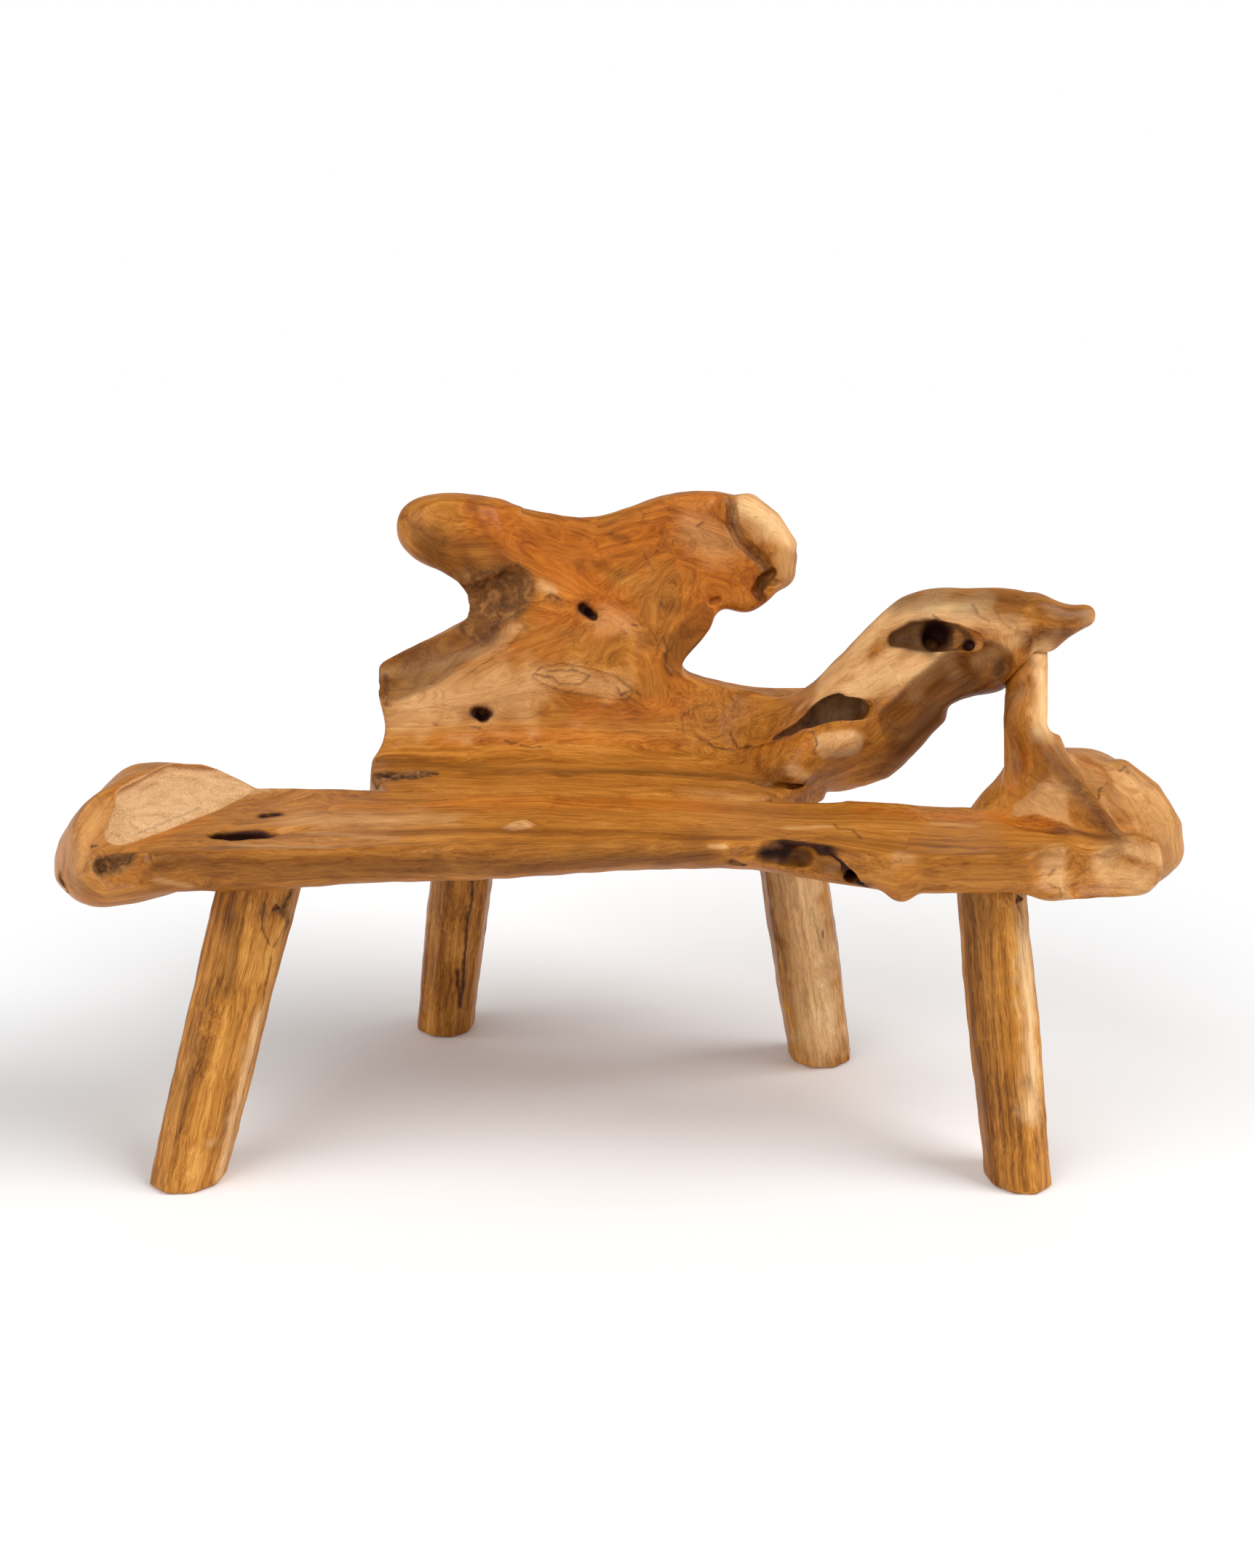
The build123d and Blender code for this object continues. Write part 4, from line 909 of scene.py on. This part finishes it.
# ---- materials ---------------------------------------------------------------------------------
class Nodes:
    """Short names for building a node tree."""

    def __init__(self, name):
        self.material = bpy.data.materials.new(name)
        self.material.use_nodes = True
        self.tree = self.material.node_tree
        self.shader = self.tree.nodes["Principled BSDF"]

    def put(self, target, value):
        """Gives a socket a value, or links another socket to it."""
        if isinstance(value, bpy.types.NodeSocket):
            self.tree.links.new(value, target)
        else:
            target.default_value = value

    def give(self, name, value):
        """Gives the shader's input of that name a value."""
        self.put(self.shader.inputs[name], value)

    def node(self, kind, out=0, inputs=(), **settings):
        """Adds a node of a kind, and gives back one of its outputs."""
        node = self.tree.nodes.new("ShaderNode" + kind)
        for key, value in settings.items():
            setattr(node, key, value)
        for key, value in dict(inputs).items():
            self.put(node.inputs[key], value)
        return node.outputs[out]

    def math(self, how, a, b=0.0, c=0.0):
        return self.node("Math", inputs={0: a, 1: b, 2: c}, operation=how)

    def sum(self, *terms):
        """Adds up (value, weight) pairs."""
        total = 0.0
        for value, weight in terms:
            total = self.math("MULTIPLY_ADD", value, weight, total)
        return total

    def field(self, name, vector=False):
        return self.node("Attribute", "Vector" if vector else "Fac", attribute_name=name)

    def noise(self, vector, scale, detail=4.0, rough=0.55, twist=0.0, out="Fac"):
        """Noise over a vector: its scale, its octaves, their weight and how much it is bent."""
        return self.node("TexNoise", out, {"Vector": vector, "Scale": scale, "Detail": detail,
                                           "Roughness": rough, "Distortion": twist})

    def shape(self, value, low, high, to_low=0.0, to_high=1.0):
        """Spreads what lies between low and high over 0 to 1, or over two other values."""
        return self.node("MapRange", "Result", {"Value": value, "From Min": low, "From Max": high,
                                                "To Min": to_low, "To Max": to_high})

    def mix(self, share, a, b, how="MIX"):
        node = self.tree.nodes.new("ShaderNodeMix")
        node.data_type = "RGBA"
        node.blend_type = how
        self.put(node.inputs["Factor"], share)
        for socket, colour in ((node.inputs[6], a), (node.inputs[7], b)):
            self.put(socket, (*colour, 1) if isinstance(colour, tuple) else colour)
        return node.outputs[2]

    def times(self, share, colour, factor):
        """Multiplies a colour by a factor, by a share."""
        return self.mix(share, colour, self.mix(1.0, colour, factor, "MULTIPLY"))

    def colours(self, value, stops):
        """A colour for each value, between stops of (value, colour)."""
        node = self.tree.nodes.new("ShaderNodeValToRGB")
        band = node.color_ramp
        while len(band.elements) < len(stops):
            band.elements.new(0.5)
        for element, (place, colour) in zip(band.elements, stops):
            element.position = place
            element.color = (*colour, 1)
        self.put(node.inputs[0], value)
        return node.outputs[0]

    def bump(self, height, strength, distance):
        """Gives the shader small relief, that many metres high."""
        relief = {"Height": height, "Strength": strength, "Distance": distance}
        self.give("Normal", self.node("Bump", "Normal", relief))


TEAK = [(0.0, (0.150, 0.044, 0.004)), (0.25, (0.290, 0.096, 0.010)), (0.5, (0.440, 0.160, 0.021)),
        (0.75, (0.570, 0.230, 0.040)), (1.0, (0.700, 0.315, 0.070))]
# the pale mark's colours, for bleached wood and for painted highlights
BLEACHED_AND_HIGHLIGHT = [(0.0, (0.68, 0.36, 0.140)), (0.5, (0.93, 0.56, 0.280)), (1.0, (1.00, 0.74, 0.440))]
END_GRAIN = [(0.38, (0.42, 0.22, 0.10)), (0.48, (0.70, 0.42, 0.22)), (0.62, (0.88, 0.62, 0.40))]
BROKEN = [(0.36, (0.024, 0.010, 0.003)), (0.48, (0.10, 0.040, 0.012)),
          (0.58, (0.24, 0.105, 0.034)), (0.72, (0.46, 0.240, 0.095))]
RUST = [(0.35, (0.10, 0.075, 0.06)), (0.50, (0.16, 0.05, 0.02)), (0.65, (0.24, 0.085, 0.03))]
BEECH = [(0.35, (0.42, 0.25, 0.12)), (0.65, (0.62, 0.42, 0.22))]
# what a mark, a line or a pore multiplies the wood's colour by; the dark mark's factor serves grey-brown
# wood and painted shade, and the cave mark's factor is painted shade deep in hollows
WARM, DARK_AND_SHADE = (1.12, 0.80, 0.36), (0.38, 0.34, 0.30)
CAVE_SHADE, CRACK = (0.075, 0.035, 0.010), (0.14, 0.09, 0.06)
LINE, PORE = (0.50, 0.38, 0.28), (0.45, 0.35, 0.28)


def teak(name, tint, contrast):
    """Satin teak: long figure, growth lines, fibres and pores that follow the laid grain."""
    n = Nodes(name)
    grain = n.field("grain", vector=True)
    place = n.node("TexCoord", "Object")
    sway = n.node("VectorMath", 0, {0: n.noise(place, 11.0, 2.0, out="Color"), 1: (0.5, 0.5, 0.5)},
                  operation="SUBTRACT")
    sway = n.node("VectorMath", 0, {0: sway, 3: 0.014}, operation="SCALE")
    wood = n.node("VectorMath", 0, {0: grain, 1: sway}, operation="ADD")
    figure = n.noise(wood, 26.0, 3.0, 0.5, 0.3)
    streak = n.noise(wood, 120.0, 4.0, 0.6, 0.2)
    fibre = n.noise(wood, 560.0, 3.0, 0.65)
    cloud = n.noise(place, 7.0, 4.0, 0.55)
    lines = n.math("SINE", n.sum((figure, 95.0), (streak, 5.0)))
    lines = n.math("MULTIPLY", n.shape(lines, 0.35, 1.0), n.shape(cloud, 0.42, 0.60))
    pores = n.shape(n.noise(wood, 1100.0, 2.0, 0.6), 0.60, 0.72)
    body = n.sum((figure, 0.20), (streak, 0.32), (fibre, 0.26), (cloud, 0.22))
    body = n.shape(body, 0.5 - 0.12 / contrast, 0.5 + 0.12 / contrast)
    bark, end, cave = n.field("bark"), n.field("end"), n.field("cave")
    colour = n.times(n.math("MULTIPLY", n.field("warm"), 0.85), n.colours(body, TEAK), WARM)
    # pale mark: bleached and planed wood, and painted highlights and sheen
    colour = n.mix(n.math("MULTIPLY", n.field("pale"), 0.92), colour, n.colours(body, BLEACHED_AND_HIGHLIGHT))
    # dark mark: grey-brown wood and painted shade; then growth lines and pores
    for share, most, tone in ((n.field("dark"), 0.85, DARK_AND_SHADE), (lines, 0.26, LINE), (pores, 0.50, PORE)):
        colour = n.times(n.math("MULTIPLY", share, most), colour, tone)
    # end grain: a pale ground full of short dark flecks
    fleck = n.sum((n.noise(place, 420.0, 2.0, 0.7), 0.45), (streak, 0.35), (cloud, 0.20))
    colour = n.mix(n.math("MULTIPLY", end, 0.85), colour, n.colours(fleck, END_GRAIN))
    # bark and broken wood, then painted shade deep in hollows, and cracks
    rugged = n.noise(place, 45.0, 8.0, 0.68, 0.8)
    colour = n.mix(n.math("MULTIPLY", bark, 0.90), colour, n.colours(rugged, BROKEN))
    colour = n.times(cave, colour, CAVE_SHADE)
    colour = n.times(n.field("crack"), colour, CRACK)
    colour = n.mix(1.0, colour, tint, "MULTIPLY")
    n.give("Base Color", colour)
    dullness = n.sum((streak, 0.25), (bark, 0.30), (cave, 0.30), (0.28, 1.0))
    n.give("Roughness", dullness)
    n.give("Specular IOR Level", 0.18)
    n.give("Coat Weight", 0.05)
    n.give("Coat Roughness", 0.25)
    height = n.sum((fibre, 0.30), (pores, -0.25), (lines, -0.10),
                   (n.math("MULTIPLY", rugged, bark), 4.0), (n.math("MULTIPLY", rugged, cave), 2.5),
                   (n.math("MULTIPLY", fleck, end), 0.8))
    n.bump(height, 0.6, 0.0012)
    return n.material


def rusted_steel():
    """Steel screws, brown with rust and bright in spots."""
    n = Nodes("rusted_steel")
    place = n.node("TexCoord", "Object")
    rust = n.noise(place, 350.0, 5.0, 0.65)
    n.give("Base Color", n.colours(rust, RUST))
    n.give("Metallic", n.shape(rust, 0.35, 0.5, 0.8, 0.1))
    n.give("Roughness", n.shape(rust, 0.3, 0.6, 0.45, 0.85))
    n.bump(rust, 0.6, 0.0004)
    return n.material


def joinery_wood():
    """Planed beech for the hidden dowels and wedges."""
    n = Nodes("joinery_wood")
    place = n.node("TexCoord", "Object")
    fibre = n.noise(n.node("Mapping", 0, {0: place, "Scale": (1.0, 0.12, 1.0)}), 500.0, 4.0, 0.6)
    n.give("Base Color", n.colours(fibre, BEECH))
    n.give("Roughness", 0.6)
    n.bump(fibre, 0.4, 0.0005)
    return n.material


root_wood = teak("root_wood", (0.94, 0.91, 0.78), 0.9)
leg_wood = teak("leg_wood", (1.02, 1.08, 1.05), 1.3)
for kind, material in (("screw", rusted_steel()), ("dowel", joinery_wood()),
                       ("wedge", joinery_wood())):
    for name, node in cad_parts.items():
        if kind in name:
            for slot in node.material_slots:
                slot.material = material

looks_of = {"seat_slab": seat_mesh, "back_root": back_mesh}
for corner, mesh in leg_meshes.items():
    looks_of["leg_" + corner] = mesh
for node, mesh in looks_of.items():
    on_leg = node.startswith("leg")
    mesh.materials.append(leg_wood if on_leg else root_wood)
    piece = bpy.data.objects.new(mesh.name, mesh)
    bpy.context.scene.collection.objects.link(piece)
    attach(piece, "root")
    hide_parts(node)

# ---- floor, light and camera -------------------------------------------------------------------
floor_mesh = bpy.data.meshes.new("floor")
FAR = 40
floor_corners = [(-FAR, -FAR, 0), (FAR, -FAR, 0), (FAR, FAR, 0), (-FAR, FAR, 0)]
floor_mesh.from_pydata(floor_corners, [], [(0, 1, 2, 3)])
floor = bpy.data.objects.new("floor", floor_mesh)
bpy.context.scene.collection.objects.link(floor)
pale_floor = bpy.data.materials.new("pale_floor")
pale_floor.use_nodes = True
FLOOR_SHADE = (0.93, 0.93, 0.93, 1)
floor_shader = pale_floor.node_tree.nodes["Principled BSDF"]
floor_shader.inputs["Base Color"].default_value = FLOOR_SHADE
floor_shader.inputs["Specular IOR Level"].default_value = 0.0
floor_mesh.materials.append(pale_floor)

# the world is white where it is seen, and gives a softer light than that
world = bpy.data.worlds.new("studio")
world.use_nodes = True
light_path = world.node_tree.nodes.new("ShaderNodeLightPath")
strength = world.node_tree.nodes.new("ShaderNodeMapRange")
WORLD_LIGHT, WORLD_SEEN = 0.36, 1.0
strength.inputs["To Min"].default_value = WORLD_LIGHT
strength.inputs["To Max"].default_value = WORLD_SEEN
world.node_tree.links.new(light_path.outputs["Is Camera Ray"], strength.inputs["Value"])
background = world.node_tree.nodes["Background"]
background.inputs["Color"].default_value = (1, 1, 1, 1)
world.node_tree.links.new(strength.outputs["Result"], background.inputs["Strength"])
bpy.context.scene.world = world
bpy.context.scene.view_settings.view_transform = "Standard"


def far_light(name, come_from, softness, strength):
    """A broad light from far away, so that the whole floor gets the same."""
    light = bpy.data.objects.new(name, bpy.data.lights.new(name, "SUN"))
    light.data.angle = math.radians(softness)
    light.data.energy = strength
    light.rotation_euler = Vector(come_from).to_track_quat("Z", "Y").to_euler()
    bpy.context.scene.collection.objects.link(light)


far_light("right", (1.0, -0.30, 1.00), 40, 2.2)
far_light("front_left", (-1.0, -0.9, 0.90), 60, 1.65)

camera = bpy.data.objects.new("camera", bpy.data.cameras.new("camera"))
SENSOR, PHOTO_HEIGHT_PX = 36, 2000
camera.data.sensor_width = SENSOR
camera.data.lens = SENSOR * FOCAL_PX / PHOTO_HEIGHT_PX
camera.location = EYE
camera.rotation_euler = (math.pi / 2 - TILT, 0, 0)
bpy.context.scene.collection.objects.link(camera)
bpy.context.scene.camera = camera
